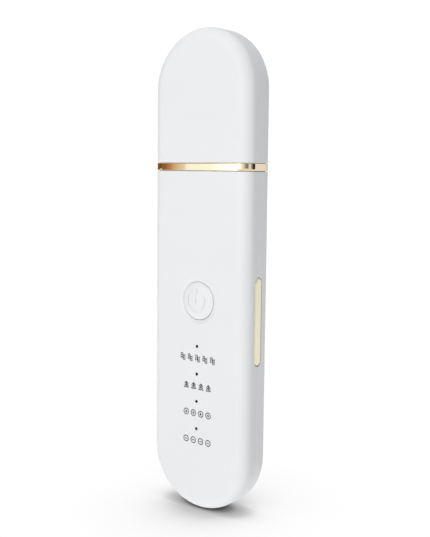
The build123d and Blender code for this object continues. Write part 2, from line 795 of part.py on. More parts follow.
protector_top = cell_top + 3.5
with BuildPart() as cell_protector:
    with BuildSketch(plane_at(2.4)):
        with Locations((0, (cell_top + protector_top) / 2)):
            Rectangle(24.0, protector_top - cell_top)
    extrude(amount=0.8)
    with BuildSketch(plane_at(3.4)):
        with Locations((-6.0, (cell_top + protector_top) / 2), (3.0, (cell_top + protector_top) / 2)):
            Rectangle(3.0, 1.8)
    extrude(amount=1.0)
cell_protector.part.label = "cell_protector"
export_step(cell_protector.part, "parts/cell_protector.step")

with BuildPart() as battery_tape:
    with BuildSketch(plane_at(cell_front)):
        with Locations((0, 48.0)):
            Rectangle(24.0, 40.0)
    extrude(amount=cell_front - chassis_rear)
battery_tape.part.label = "battery_tape"
export_step(battery_tape.part, "parts/battery_tape.step")

# ---- battery plug on the board, and its two wires ----
plug_bottom = 80.5
with BuildPart() as battery_plug:
    with BuildSketch(plane_at(board_rear + 3.2)):
        with Locations((0, plug_bottom + 2.0)):
            Rectangle(6.0, 4.0)
    extrude(amount=3.2)
battery_plug.part.label = "battery_plug"
export_step(battery_plug.part, "parts/battery_plug.step")

lead_start_y = 2.0
lead_end_y = 0.2
with BuildPart() as battery_leads:
    for x in (-1.1, 1.1):
        with BuildLine() as lead_route:
            FilletPolyline(
                (x, lead_start_y, protector_top),
                (x, lead_start_y, protector_top + 2.0),
                (x, lead_end_y, plug_bottom - 2.0),
                (x, lead_end_y, plug_bottom),
                radius=2.0,
            )
        with BuildSketch(Plane(origin=(x, lead_start_y, protector_top), z_dir=(0, 0, 1))):
            Circle(0.45)
        sweep(path=lead_route.line)
battery_leads.part.label = "battery_leads"
export_step(battery_leads.part, "parts/battery_leads.step")

# ---- charging socket: a steel shell, closed at its end, around a thin tongue ----
with BuildPart() as usb_shell:
    with BuildSketch(Plane.XY.offset(socket_mouth)):
        RectangleRounded(socket_width, socket_height, socket_height / 2 - 0.1)
    extrude(amount=socket_end - socket_mouth)
    with BuildSketch(Plane.XY.offset(socket_mouth)):
        RectangleRounded(socket_width - 0.6, socket_height - 0.6, socket_height / 2 - 0.4)
    extrude(amount=socket_end - socket_mouth - 0.4, mode=Mode.SUBTRACT)
usb_shell.part.label = "usb_shell"
export_step(usb_shell.part, "parts/usb_shell.step")

with BuildPart() as usb_tongue:
    with BuildSketch(Plane.XY.offset(socket_mouth + 1.1)):
        Rectangle(6.7, 0.7)
    extrude(amount=socket_end - 0.4 - socket_mouth - 1.1)
    with BuildSketch(Plane.XY.offset(socket_end - 2.0)):
        RectangleRounded(8.0, 2.3, 0.9)
    extrude(amount=1.6)
usb_tongue.part.label = "usb_tongue"
export_step(usb_tongue.part, "parts/usb_tongue.step")

# ---- contact strip in the right side, with a leg through the wall ----
strip_inside = strip_outside - strip_depth
leg_end = 19.4
with BuildPart() as side_electrode:
    with BuildSketch(Plane.YZ.offset(strip_outside)):
        with Locations((0, strip_z)):
            SlotOverall(strip_length, strip_width, rotation=90)
    extrude(amount=-strip_depth)
    fillet(side_electrode.faces().sort_by(Axis.X)[-1].edges(), radius=0.4)
    with BuildSketch(Plane.YZ.offset(strip_inside + 0.1)):
        with Locations((0, strip_z)):
            Rectangle(2.4, 4.0)
    extrude(amount=-(strip_inside + 0.1 - leg_end))
side_electrode.part.label = "side_electrode"
export_step(side_electrode.part, "parts/side_electrode.step")

# ---- leaf spring from the board's rear to the strip's leg ----
with BuildPart() as electrode_spring:
    with BuildSketch(Plane.XY.offset(strip_z - 1.5)):
        with BuildLine():
            Polyline(
                (12.5, board_rear),
                (leg_end, board_rear),
                (leg_end, 1.0),
                (leg_end - 0.25, 1.0),
                (leg_end - 0.25, board_rear + 0.25),
                (12.5, board_rear + 0.25),
                close=True,
            )
        make_face()
    extrude(amount=3.0)
electrode_spring.part.label = "electrode_spring"
export_step(electrode_spring.part, "parts/electrode_spring.step")
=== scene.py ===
# %% [markdown]
# # A skin scrubber, dressed for the camera
# The object is a slim hand-held tool in matte white plastic. A cap slides over its steel
# blade, a gold hoop marks where the cap ends, and the front has one round button and
# four small lights. The engineering model is already packed. It is loaded here as a
# fixed frame: every new piece takes its place and its size from it.

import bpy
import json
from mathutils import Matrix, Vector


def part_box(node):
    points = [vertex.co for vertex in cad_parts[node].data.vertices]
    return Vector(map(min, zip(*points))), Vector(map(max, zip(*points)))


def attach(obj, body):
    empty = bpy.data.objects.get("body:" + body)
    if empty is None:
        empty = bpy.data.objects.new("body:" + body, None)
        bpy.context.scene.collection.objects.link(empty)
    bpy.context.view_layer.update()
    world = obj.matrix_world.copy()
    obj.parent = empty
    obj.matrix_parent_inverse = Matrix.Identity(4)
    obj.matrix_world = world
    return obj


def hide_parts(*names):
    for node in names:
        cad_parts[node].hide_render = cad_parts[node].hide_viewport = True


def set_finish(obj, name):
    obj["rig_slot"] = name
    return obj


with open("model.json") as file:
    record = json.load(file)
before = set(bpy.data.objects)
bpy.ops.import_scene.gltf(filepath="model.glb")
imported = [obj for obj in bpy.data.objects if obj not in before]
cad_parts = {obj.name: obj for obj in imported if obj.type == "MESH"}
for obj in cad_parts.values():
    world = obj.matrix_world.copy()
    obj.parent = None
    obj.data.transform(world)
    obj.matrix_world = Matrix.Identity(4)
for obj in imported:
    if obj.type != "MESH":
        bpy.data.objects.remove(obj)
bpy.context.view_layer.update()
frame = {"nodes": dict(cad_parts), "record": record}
print("nodes in the frame:", len(frame["nodes"]))

# %% Python helpers that the lesson needs
import json
import math

import bmesh
import bpy
from mathutils import Matrix, Vector

MM = 0.001

# %% [markdown]
# ## Sizes
# Nothing is measured by eye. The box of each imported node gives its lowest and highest
# corner in metres, and the shapes below are built from those corners. A few sizes that
# a box can't tell, such as the wall's thickness, are written out once.

# %% Read the sizes
cap_low, cap_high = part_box("cap_shell")
front_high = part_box("front_shell")[1]
hoop_low, hoop_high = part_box("trim_ring")
button_low, button_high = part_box("power_button")
strip_low, strip_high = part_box("side_electrode")
blade_low, blade_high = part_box("blade")
guide_low, guide_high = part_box("light_guide")

HALF_WIDTH = cap_high.x
FACE = cap_low.y
BACK = cap_high.y
HALF_DEPTH = BACK
TOP = cap_high.z
CAP_RIM = cap_low.z
CASE_RIM = front_high.z
CORNER = 4.5 * MM
WALL = 1.6 * MM
BUTTON_Z = (button_low.z + button_high.z) / 2
LIGHTS_Z = [62.4 * MM, 52.0 * MM, 41.6 * MM, 31.2 * MM]
print("body", round(2 * HALF_WIDTH / MM, 2), "x", round(2 * HALF_DEPTH / MM, 2), "x", round(TOP / MM, 2), "mm")
print("the cap starts at", round(CAP_RIM / MM, 2), "mm, the casing ends at", round(CASE_RIM / MM, 2), "mm")

# %% [markdown]
# ## Working habits
# An operator acts on everything that is selected, so each step starts from nothing
# selected. Faces and edges are then picked by a rule about their place. These few
# helpers do that, and the rest of the lesson reads like work at the bench.

# %% Select one piece, or nothing
def lay_down_tools():
    """Back to object mode with nothing selected."""
    if bpy.context.object is not None and bpy.context.object.mode != "OBJECT":
        bpy.ops.object.mode_set(mode="OBJECT")
    bpy.ops.object.select_all(action="DESELECT")


def take(piece):
    """Select that piece alone."""
    lay_down_tools()
    piece.select_set(True)
    bpy.context.view_layer.objects.active = piece


lay_down_tools()

# %% Open a mesh, pick parts of it, close it
def open_mesh(piece):
    take(piece)
    bpy.ops.object.mode_set(mode="EDIT")


def close_mesh():
    bpy.ops.object.mode_set(mode="OBJECT")


def pick(piece, kind, rule):
    """In edit mode, select only the faces, edges or corners that the rule accepts."""
    bpy.ops.mesh.select_mode(type=kind)
    bpy.ops.mesh.select_all(action="DESELECT")
    mesh = bmesh.from_edit_mesh(piece.data)
    found = 0
    for part in {"FACE": mesh.faces, "EDGE": mesh.edges, "VERT": mesh.verts}[kind]:
        if rule(part):
            part.select_set(True)
            found += 1
    mesh.select_flush_mode()
    bmesh.update_edit_mesh(piece.data)
    return found


def both_ends(edge, rule):
    return all(rule(corner.co) for corner in edge.verts)


# %% Fix a piece's place, name it, and apply a modifier
def new_piece(name):
    """The object that an operator has just added, with its turn and scale made part of the mesh."""
    piece = bpy.context.object
    bpy.ops.object.transform_apply(location=True, rotation=True, scale=True)
    piece.name = name
    piece.data.name = name
    return piece


def apply_modifier(piece, kind, **settings):
    take(piece)
    modifier = piece.modifiers.new(kind.lower(), kind)
    for key, value in settings.items():
        setattr(modifier, key, value)
    bpy.ops.object.modifier_apply(modifier=modifier.name)


def cut(piece, cutter, operation="DIFFERENCE"):
    """Cut with another mesh, which is used up."""
    apply_modifier(piece, "BOOLEAN", object=cutter, operation=operation, solver="EXACT")
    bpy.data.objects.remove(cutter)


def turn_faces_out(piece):
    open_mesh(piece)
    bpy.ops.mesh.select_all(action="SELECT")
    bpy.ops.mesh.remove_doubles(threshold=0.000001)
    bpy.ops.mesh.normals_make_consistent(inside=False)
    close_mesh()


def smooth(piece, angle=32):
    """Soft shading across shallow edges, and large flat faces that stay flat."""
    take(piece)
    bpy.ops.object.shade_smooth_by_angle(angle=math.radians(angle))
    apply_modifier(piece, "WEIGHTED_NORMAL", keep_sharp=True, weight=80, mode="FACE_AREA_WITH_ANGLE")


# %% [markdown]
# ## The capsule
# The body, its strip and the cutters for them are all capsules: a bar with round ends,
# cut from a plate. A lathe can't make it, because it isn't round in section. A rounded
# box can't either, because its ends are full half circles. So a circle is drawn, its
# lower half is pulled down to the length, and the outline is pushed to its thickness.
# The circle starts half a step round, so that no corner lies on its widest line and
# the two long sides stay straight.

# %% Draw a capsule plate
def capsule_plate(name, half_width, low, high, front, thickness, steps):
    """A capsule that stands up: z from low to high, and y from front to front plus thickness."""
    lay_down_tools()
    half_step = math.pi / steps
    bpy.ops.mesh.primitive_circle_add(
        vertices=steps, radius=half_width, fill_type="NGON",
        location=(0, front, high - half_width), rotation=(math.pi / 2, half_step, 0),
    )
    plate = new_piece(name)
    middle = high - half_width
    open_mesh(plate)
    pick(plate, "VERT", lambda corner: corner.co.z < middle)
    bpy.ops.transform.translate(value=(0, 0, low + half_width - middle))
    pick(plate, "FACE", lambda face: True)
    bpy.ops.mesh.extrude_region_move(TRANSFORM_OT_translate={"value": (0, thickness, 0)})
    bpy.ops.mesh.select_all(action="SELECT")
    bpy.ops.mesh.normals_make_consistent(inside=False)
    close_mesh()
    return plate


# %% [markdown]
# ## The skin of the body
# On the real object the cap and the casing were drawn as one soft shape and then cut
# apart, which is why the gold hoop sits flush with both. The same order works here:
# one capsule with its two rims rounded, copied for each moulding, and cut.

# %% Round a capsule into the body's skin
BODY_STEPS = 192
RIM_STEPS = 14


def body_skin(name):
    skin = capsule_plate(name, HALF_WIDTH, 0, TOP, FACE, BACK - FACE, BODY_STEPS)
    open_mesh(skin)
    rims = pick(skin, "EDGE", lambda edge: both_ends(edge, lambda co: abs(co.y) > HALF_DEPTH - 0.01 * MM)
                and abs(edge.verts[0].co.y - edge.verts[1].co.y) < 0.01 * MM)
    bpy.ops.mesh.bevel(offset=CORNER, segments=RIM_STEPS, profile=0.5, affect="EDGES", clamp_overlap=False)
    close_mesh()
    print(name, "has", rims, "rim edges to round, now", len(skin.data.polygons), "faces")
    return skin


def keep_side(piece, point, away):
    """Cut straight across, and keep what lies on the side that the arrow points to."""
    open_mesh(piece)
    bpy.ops.mesh.select_all(action="SELECT")
    bpy.ops.mesh.bisect(plane_co=point, plane_no=away, use_fill=False, clear_inner=True)
    close_mesh()


def give_wall(piece, thickness=WALL):
    """The skin gets its wall inwards."""
    apply_modifier(
        piece, "SOLIDIFY", thickness=thickness, offset=-1, use_even_offset=True, use_quality_normals=True)


# %% [markdown]
# The cut edges of a moulding are never sharp. To find only the outer edge of a cut, the
# distance of a corner to the skin is worked out: in section the body is a rectangle
# with round corners, and every corner of the mesh lies on it or a wall's thickness under it.

# %% Distance to the skin, and soft cut edges
def depth_under_skin(co):
    """How far a point lies inside the body, in metres. Its ends are round, its section is a rounded box."""
    nearest_z = min(max(co.z, HALF_WIDTH), TOP - HALF_WIDTH)
    across = math.hypot(co.x, co.z - nearest_z)
    over_x = across - (HALF_WIDTH - CORNER)
    over_y = abs(co.y) - (HALF_DEPTH - CORNER)
    outside = math.hypot(max(over_x, 0), max(over_y, 0))
    return CORNER - outside - min(max(over_x, over_y), 0)


def soften_cut(piece, on_cut, width, steps=2, skin_depth=0.0):
    """Round the edges of a cut, where the skin meets it."""
    open_mesh(piece)
    found = pick(piece, "EDGE", lambda edge: both_ends(
        edge, lambda co: on_cut(co) and abs(depth_under_skin(co) - skin_depth) < 0.05 * MM))
    bpy.ops.mesh.bevel(offset=width, segments=steps, profile=0.5, affect="EDGES", clamp_overlap=False)
    close_mesh()
    return found


# %% [markdown]
# ## The cap
# The cap is a deep cup with a wall of 1.6 mm. Its mouth has a small chamfer outside,
# which draws the fine dark line over the gold, and a larger one inside, which leads it
# onto the neck.

# %% Make the cap
EDGE_BREAK = 0.15 * MM

cap_cover = body_skin("cap_cover")
keep_side(cap_cover, (0, 0, CAP_RIM), (0, 0, 1))
give_wall(cap_cover)
outer = soften_cut(cap_cover, lambda co: abs(co.z - CAP_RIM) < 0.01 * MM, EDGE_BREAK)
inner = soften_cut(cap_cover, lambda co: abs(co.z - CAP_RIM) < 0.01 * MM, 2 * EDGE_BREAK, 2, WALL)
smooth(cap_cover)
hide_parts("cap_shell")
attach(cap_cover, "cap")
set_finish(cap_cover, "white_plastic")
print("cap:", outer, "outer and", inner, "inner edges softened")

# %% [markdown]
# ## The casing
# The handle is two half shells that snap together along the middle of the side. Each
# is cut from the same skin, so the two match. A small chamfer along the joint leaves
# the thin line that shows on any moulded case.

# %% Make the two halves of the casing
SEAM_BREAK = 0.1 * MM


def half_casing(name, away):
    half = body_skin(name)
    keep_side(half, (0, 0, CASE_RIM), (0, 0, -1))
    keep_side(half, (0, 0, 0), (0, away, 0))
    give_wall(half)
    mouth = soften_cut(half, lambda co: abs(co.z - CASE_RIM) < 0.01 * MM, EDGE_BREAK)
    seam = soften_cut(half, lambda co: abs(co.y) < 0.01 * MM, SEAM_BREAK, 1)
    print(name, "has", mouth, "mouth edges and", seam, "seam edges softened")
    return half


front_half = half_casing("front_half", -1)
rear_half = half_casing("rear_half", 1)

# %% [markdown]
# ## Turned shapes
# Round cutters and the button are made as on a lathe, but with two operators only: a
# disc is drawn, then pushed along its axis and resized, once for each step of the
# profile. All of them stand on the front face, so the axis runs along y.

# %% Push and resize a disc along y
def turned(name, x, z, profile, steps):
    """profile is a list of (y, radius), from one end to the other."""
    lay_down_tools()
    y, radius = profile[0]
    bpy.ops.mesh.primitive_circle_add(
        vertices=steps, radius=radius, fill_type="NGON", location=(x, y, z), rotation=(math.pi / 2, 0, 0),
    )
    piece = new_piece(name)
    open_mesh(piece)
    bpy.ops.mesh.select_all(action="SELECT")
    for next_y, next_radius in profile[1:]:
        bpy.ops.mesh.extrude_region_move(TRANSFORM_OT_translate={"value": (0, next_y - y, 0)})
        if next_radius != radius:
            ratio = next_radius / radius
            bpy.ops.transform.resize(value=(ratio, 1, ratio), center_override=(x, next_y, z))
        y, radius = next_y, next_radius
    bpy.ops.mesh.select_all(action="SELECT")
    bpy.ops.mesh.normals_make_consistent(inside=False)
    close_mesh()
    return piece


# %% [markdown]
# The button's hole sits in a shallow dish, so that a thumb finds it without looking.
# The dish slopes in over a narrow band to a small flat ledge, and drops into the hole
# over a tiny break. One cutter carries that whole profile. A loose button never rests
# dead in the middle of its hole, so the gap is a little wider on one side.

# %% Cut the dish and the button's hole
DISH_RADIUS = 8.5 * MM
LEDGE_RADIUS = 7.6 * MM
DISH_DEPTH = 0.5 * MM
HOLE_RADIUS = 7.15 * MM
BUTTON_PLAY = 0.05 * MM
ROUND_STEPS = 128

dish_profile = [
    (FACE - 1.0 * MM, DISH_RADIUS + 0.1 * MM),
    (FACE - 0.01 * MM, DISH_RADIUS + 0.07 * MM),
    (FACE + 0.02 * MM, DISH_RADIUS - 0.03 * MM),
    (FACE + 0.07 * MM, DISH_RADIUS - 0.13 * MM),
    (FACE + 0.42 * MM, LEDGE_RADIUS + 0.14 * MM),
    (FACE + 0.48 * MM, LEDGE_RADIUS + 0.02 * MM),
    (FACE + DISH_DEPTH, LEDGE_RADIUS - 0.08 * MM),
    (FACE + DISH_DEPTH, HOLE_RADIUS + 0.1 * MM),
    (FACE + DISH_DEPTH + 0.1 * MM, HOLE_RADIUS),
    (FACE + 2.5 * MM, HOLE_RADIUS),
]
cut(front_half, turned("dish_cutter", BUTTON_PLAY, BUTTON_Z - BUTTON_PLAY, dish_profile, ROUND_STEPS))
print("dish and hole cut at z", round(BUTTON_Z / MM, 2), "mm")

# %% Cut the four light holes
LIGHT_RADIUS = 0.53 * MM
FIT = 0.05 * MM

for light_z in LIGHTS_Z:
    light_profile = [
        (FACE - 1.0 * MM, LIGHT_RADIUS + 4 * FIT),
        (FACE - 0.01 * MM, LIGHT_RADIUS + 2.6 * FIT),
        (FACE + 1.5 * FIT, LIGHT_RADIUS + FIT),
        (FACE + 2.5 * MM, LIGHT_RADIUS + FIT),
    ]
    cut(front_half, turned("light_cutter", 0, light_z, light_profile, 32))

# %% [markdown]
# ## The recess of the contact strip, and the socket's opening
# The strip is let into the right side, half in each shell. Its cutter is a capsule too,
# turned to face the side, with a lip that leaves a soft edge. The charging socket opens
# through the bottom end, and it is cut with a rounded bar.

# %% Place a capsule on the right side
STRIP_Z = (strip_low.z + strip_high.z) / 2
STRIP_HALF = (strip_high.y - strip_low.y) / 2
STRIP_OUT = strip_high.x
STRIP_DEPTH = 1.05 * MM
STRIP_GAP = 0.25 * MM


def side_capsule(name, half_width, half_length, inside, outside, steps=64):
    """A capsule that lies in the right side, from x = inside to x = outside."""
    piece = capsule_plate(name, half_width, STRIP_Z - half_length, STRIP_Z + half_length,
                          -outside, outside - inside, steps)
    piece.data.transform(Matrix.Rotation(math.pi / 2, 4, "Z"))
    return piece


# %% Cut both halves
strip_half_length = (strip_high.z - strip_low.z) / 2
print("the strip is", round(2 * strip_half_length / MM, 2), "x", round(2 * STRIP_HALF / MM, 2), "mm")

for half in (front_half, rear_half):
    recess = side_capsule("recess", STRIP_HALF + STRIP_GAP, strip_half_length + STRIP_GAP,
                          STRIP_OUT - STRIP_DEPTH - FIT, HALF_WIDTH + 1 * MM)
    cut(half, recess)
    lip = side_capsule("lip", STRIP_HALF + STRIP_GAP, strip_half_length + STRIP_GAP,
                       HALF_WIDTH - 0.12 * MM, HALF_WIDTH + 0.12 * MM)
    open_mesh(lip)
    pick(lip, "FACE", lambda face: face.normal.x > 0.99)
    length_ratio = (strip_half_length + STRIP_GAP + 0.24 * MM) / (strip_half_length + STRIP_GAP)
    width_ratio = (STRIP_HALF + STRIP_GAP + 0.24 * MM) / (STRIP_HALF + STRIP_GAP)
    bpy.ops.transform.resize(value=(1, width_ratio, length_ratio), center_override=(HALF_WIDTH, 0, STRIP_Z))
    close_mesh()
    cut(half, lip)

# %% Cut the socket's opening
SOCKET_HALF_WIDTH = 4.75 * MM
SOCKET_HALF_DEPTH = 1.85 * MM


def standing_slot(name, half_width, half_depth, low, high, steps=48):
    """A bar with round sides that stands along z."""
    slot_bar = capsule_plate(name, half_depth, -half_width, half_width, -high, high - low, steps)
    # Lie it along x, then stand its thickness up along z.
    slot_bar.data.transform(Matrix.Rotation(math.pi / 2, 4, "Y"))
    slot_bar.data.transform(Matrix.Rotation(-math.pi / 2, 4, "X"))
    return slot_bar


for half in (front_half, rear_half):
    cut(half, standing_slot("socket_cutter", SOCKET_HALF_WIDTH, SOCKET_HALF_DEPTH, -1 * MM, 3 * MM))

for half, node in ((front_half, "front_shell"), (rear_half, "rear_shell")):
    smooth(half)
    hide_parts(node)
    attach(half, "handle")
    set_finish(half, "white_plastic")
    print(half.name, len(half.data.polygons), "faces")

# %% [markdown]
# ## The gold hoop
# The hoop is a band of plated metal, 2.7 mm high. It starts as a box without its top and
# bottom: the four upright edges are rounded, the sheet gets its thickness inwards, and
# the rims are rolled a little, so that each catches a fine line of light.

# %% Make the hoop
HOOP_THICKNESS = 0.75 * MM
hoop_size = hoop_high - hoop_low

lay_down_tools()
bpy.ops.mesh.primitive_cube_add(size=1, location=(hoop_low + hoop_high) / 2, scale=hoop_size)
gold_hoop = new_piece("gold_hoop")
open_mesh(gold_hoop)
pick(gold_hoop, "FACE", lambda face: abs(face.normal.z) > 0.5)
bpy.ops.mesh.delete(type="FACE")
pick(gold_hoop, "EDGE", lambda edge: abs(edge.verts[0].co.z - edge.verts[1].co.z) > 1 * MM)
bpy.ops.mesh.bevel(offset=CORNER - 0.05 * MM, segments=32, profile=0.5, affect="EDGES", clamp_overlap=False)
close_mesh()
give_wall(gold_hoop, HOOP_THICKNESS)
open_mesh(gold_hoop)
rolled = pick(gold_hoop, "EDGE", lambda edge: both_ends(edge, lambda co: min(
    abs(co.z - hoop_low.z), abs(co.z - hoop_high.z)) < 0.01 * MM and depth_under_skin(co) < 0.3 * MM))
bpy.ops.mesh.bevel(offset=0.2 * MM, segments=4, profile=0.5, affect="EDGES", clamp_overlap=False)
close_mesh()
smooth(gold_hoop)
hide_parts("trim_ring")
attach(gold_hoop, "handle")
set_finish(gold_hoop, "gold_trim")
print("hoop rims:", rolled, "edges rolled")

# %% [markdown]
# ## The power button
# The button is a shallow dome, 0.7 mm proud at its crown, whose edge lies level with the
# ledge of the dish. Behind the wall it widens into a flange that keeps it in, and a stem
# reaches the switch. A dome is part of a ball, so the steps of its profile follow the
# circle of that ball, and a small round joins it to the side.

# %% Turn the button
BUTTON_RADIUS = 7.0 * MM
BUTTON_SAG = 1.2 * MM
BUTTON_ROUND = 0.25 * MM
BUTTON_PROUD = 0.7 * MM
CROWN = FACE - BUTTON_PROUD
BALL_RADIUS = (BUTTON_RADIUS ** 2 + BUTTON_SAG ** 2) / (2 * BUTTON_SAG)
BALL_CENTRE = CROWN + BALL_RADIUS
DOME_STEPS = 20
FLANGE_FRONT = -5.85 * MM
FLANGE_REAR = -5.25 * MM


def dome_steps(ball_radius, from_radius, count):
    """The profile of a ball round the dome's centre, from a radius in to the axis."""
    radii = [from_radius + (0.3 * MM - from_radius) * step / count for step in range(count + 1)]
    return [(BALL_CENTRE - math.sqrt(ball_radius ** 2 - radius ** 2), radius) for radius in radii]


round_radius = BUTTON_RADIUS - BUTTON_ROUND
round_centre = BALL_CENTRE - math.sqrt((BALL_RADIUS - BUTTON_ROUND) ** 2 - round_radius ** 2)
round_end = math.acos(round_radius / (BALL_RADIUS - BUTTON_ROUND))
round_turns = [round_end * step / 5 for step in range(5)]
edge_steps = [
    (round_centre - BUTTON_ROUND * math.sin(turned_by), round_radius + BUTTON_ROUND * math.cos(turned_by))
    for turned_by in round_turns
]
button_profile = [
    (button_high.y, 1.6 * MM),
    (FLANGE_REAR, 1.6 * MM),
    (FLANGE_REAR, button_high.x),
    (FLANGE_FRONT, button_high.x),
    (FLANGE_FRONT, BUTTON_RADIUS),
]
button_profile += edge_steps
button_profile += dome_steps(BALL_RADIUS, round_radius * BALL_RADIUS / (BALL_RADIUS - BUTTON_ROUND), DOME_STEPS)
power_disc = turned("power_disc", 0, BUTTON_Z, button_profile, ROUND_STEPS)
print("the button stands", round(BUTTON_PROUD / MM, 2), "mm proud")
print("its ball is", round(BALL_RADIUS / MM, 2), "mm in radius")

# %% [markdown]
# The power mark is engraved: a ring, open at the top, and a bar in the opening. The
# ring's cutter is a small face spun round the button's centre, and the bar's is a rounded
# block. Both first lose a slightly smaller ball, so the groove keeps its depth over the
# dome.

# %% Engrave the power mark
MARK_RADIUS = 3.9 * MM
MARK_LINE = 0.6 * MM
MARK_DEPTH = 0.3 * MM
MARK_OPENING = math.radians(40)
BAR_LENGTH = 5.3 * MM
BAR_CENTRE = BUTTON_Z + 1.95 * MM
GROOVE_REACH = 6.5 * MM


def engrave(cutter):
    """Cut the mark's cutter down to the groove's floor, then cut it into the button."""
    floor_profile = [(CROWN + 2.5 * MM, GROOVE_REACH)]
    floor_profile += dome_steps(BALL_RADIUS - MARK_DEPTH, GROOVE_REACH, DOME_STEPS)
    cut(cutter, turned("groove_floor", 0, BUTTON_Z, floor_profile, ROUND_STEPS))
    cut(power_disc, cutter)


lay_down_tools()
bpy.ops.mesh.primitive_plane_add(size=1, location=(MARK_RADIUS, CROWN + 0.35 * MM, BUTTON_Z))
ring_cutter = bpy.context.object
ring_cutter.scale = (MARK_LINE, 1.2 * MM, 1)
ring_cutter = new_piece("ring_cutter")
# The little face is turned to one side of the opening, then spun to the other.
to_opening = Matrix.Translation((0, 0, BUTTON_Z)) @ Matrix.Rotation(
    -(math.pi / 2 - MARK_OPENING / 2), 4, "Y") @ Matrix.Translation((0, 0, -BUTTON_Z))
ring_cutter.data.transform(to_opening)
open_mesh(ring_cutter)
bpy.ops.mesh.select_all(action="SELECT")
bpy.ops.mesh.spin(steps=72, angle=2 * math.pi - MARK_OPENING, center=(0, CROWN, BUTTON_Z), axis=(0, 1, 0))
close_mesh()
turn_faces_out(ring_cutter)
print("ring cutter:", len(ring_cutter.data.polygons), "faces")
engrave(ring_cutter)

bar_low = BAR_CENTRE - BAR_LENGTH / 2
engrave(capsule_plate("bar_cutter", MARK_LINE / 2, bar_low, bar_low + BAR_LENGTH, CROWN - 0.2 * MM, 1.4 * MM, 24))
smooth(power_disc)
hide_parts("power_button")
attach(power_disc, "button")
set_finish(power_disc, "white_plastic")

# %% [markdown]
# ## The lights
# Each light is the tip of a smoked clear pin, about 1 mm across, which looks black while
# it is off. The tips are slightly domed. One pin is modelled, and the others are copies,
# each with its own mesh; a rail behind the wall joins them.

# %% Make the pins and their rail
RAIL_HALF = 1.4 * MM
PIN_BACK = guide_high.y


def light_pin(light_z, radius, dome):
    pin_profile = [
        (PIN_BACK, 0.7 * MM),
        (-5.0 * MM, 0.7 * MM),
        (-5.0 * MM, radius),
        (FACE - dome * 0.1, radius),
        (FACE - dome * 0.7, radius * 0.82),
        (FACE - dome, radius * 0.45),
    ]
    return turned("light_pin", 0, light_z, pin_profile, 32)


lay_down_tools()
rail_low = Vector((-RAIL_HALF, -5.85 * MM, guide_low.z))
rail_high = Vector((RAIL_HALF, -5.0 * MM, guide_high.z))
bpy.ops.mesh.primitive_cube_add(size=1, location=(rail_low + rail_high) / 2, scale=rail_high - rail_low)
light_rail = new_piece("light_rail")
apply_modifier(light_rail, "BEVEL", width=0.15 * MM, segments=2)
first_pin = light_pin(LIGHTS_Z[0], LIGHT_RADIUS, 0.12 * MM)
pins = [first_pin]
for light_z in LIGHTS_Z[1:]:
    pin = first_pin.copy()
    pin.data = first_pin.data.copy()
    bpy.context.scene.collection.objects.link(pin)
    pin.data.transform(Matrix.Translation((0, 0, light_z - LIGHTS_Z[0])))
    pins.append(pin)
for pin in pins:
    cut(light_rail, pin, "UNION")
smooth(light_rail)
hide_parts("light_guide")
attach(light_rail, "handle")
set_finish(light_rail, "smoked_clear")
print("light rail:", len(light_rail.data.polygons), "faces")

# %% [markdown]
# ## The printed marks
# Under each light the casing carries a row of small grey signs. They are pad printed: a
# soft stamp lays a film of ink, a few hundredths of a millimetre thick, on the finished
# moulding. Each stroke is modelled as a low bead of ink, from half of a flattened ring
# for the curves and from a flat capsule for the straight parts. One sign is made for
# each row, and the others in that row are copies, each with its own mesh.

# %% Draw with beads of ink
STROKE = 0.36 * MM
INK_HEIGHT = 0.04 * MM
ROW_DROP = 4.5 * MM
ROW_SHIFT = 0.35 * MM
SIGN_PITCH = 3.5 * MM


def ink_ring(x, z, radius):
    """A bead of ink in a full circle, half sunk in the face."""
    lay_down_tools()
    bpy.ops.mesh.primitive_torus_add(
        major_radius=radius, minor_radius=STROKE / 2, major_segments=36, minor_segments=8,
        location=(x, FACE, z), rotation=(math.pi / 2, 0, 0),
    )
    bpy.context.object.scale = (1, 1, INK_HEIGHT / (STROKE / 2))
    return new_piece("ink_ring")


def ink_arc(x, z, radius, away):
    """Half a ring: the upper half for away = 1, the lower one for -1."""
    arc = ink_ring(x, z, radius)
    open_mesh(arc)
    bpy.ops.mesh.select_all(action="SELECT")
    bpy.ops.mesh.bisect(plane_co=(x, FACE, z), plane_no=(0, 0, away), use_fill=True, clear_inner=True)
    close_mesh()
    return arc


def ink_bar(x, z, length, lean=0.0):
    """A straight stroke about its middle, upright unless it leans to the right."""
    bar = capsule_plate("ink_bar", STROKE / 2, -length / 2, length / 2, FACE - INK_HEIGHT, 2 * INK_HEIGHT, 12)
    bar.data.transform(Matrix.Translation((x, 0, z)) @ Matrix.Rotation(math.radians(lean), 4, "Y"))
    return bar


def ink_row(name, light_z, count, strokes):
    """Join the strokes into one sign, and repeat it along the row."""
    signs = []
    for place in range(count):
        for stroke in strokes:
            sign = stroke.copy()
            sign.data = stroke.data.copy()
            bpy.context.scene.collection.objects.link(sign)
            along = ROW_SHIFT + (place - (count - 1) / 2) * SIGN_PITCH
            sign.data.transform(Matrix.Translation((along, 0, light_z - ROW_DROP)))
            signs.append(sign)
    for stroke in strokes:
        bpy.data.objects.remove(stroke)
    lay_down_tools()
    for sign in signs:
        sign.select_set(True)
    bpy.context.view_layer.objects.active = signs[0]
    bpy.ops.object.join()
    row = new_piece(name)
    smooth(row, 40)
    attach(row, "handle")
    print(name, "has", count, "signs and", len(row.data.polygons), "faces")
    return row


# %% [markdown]
# The first row shows waves, the second an arrow that lifts, the third a ring with a plus
# and the fourth a ring with a minus, one sign for each of the tool's four modes. They are
# plain signs, so they can be read in any language.

# %% Print the four rows
SIGN_HALF = 1.1 * MM

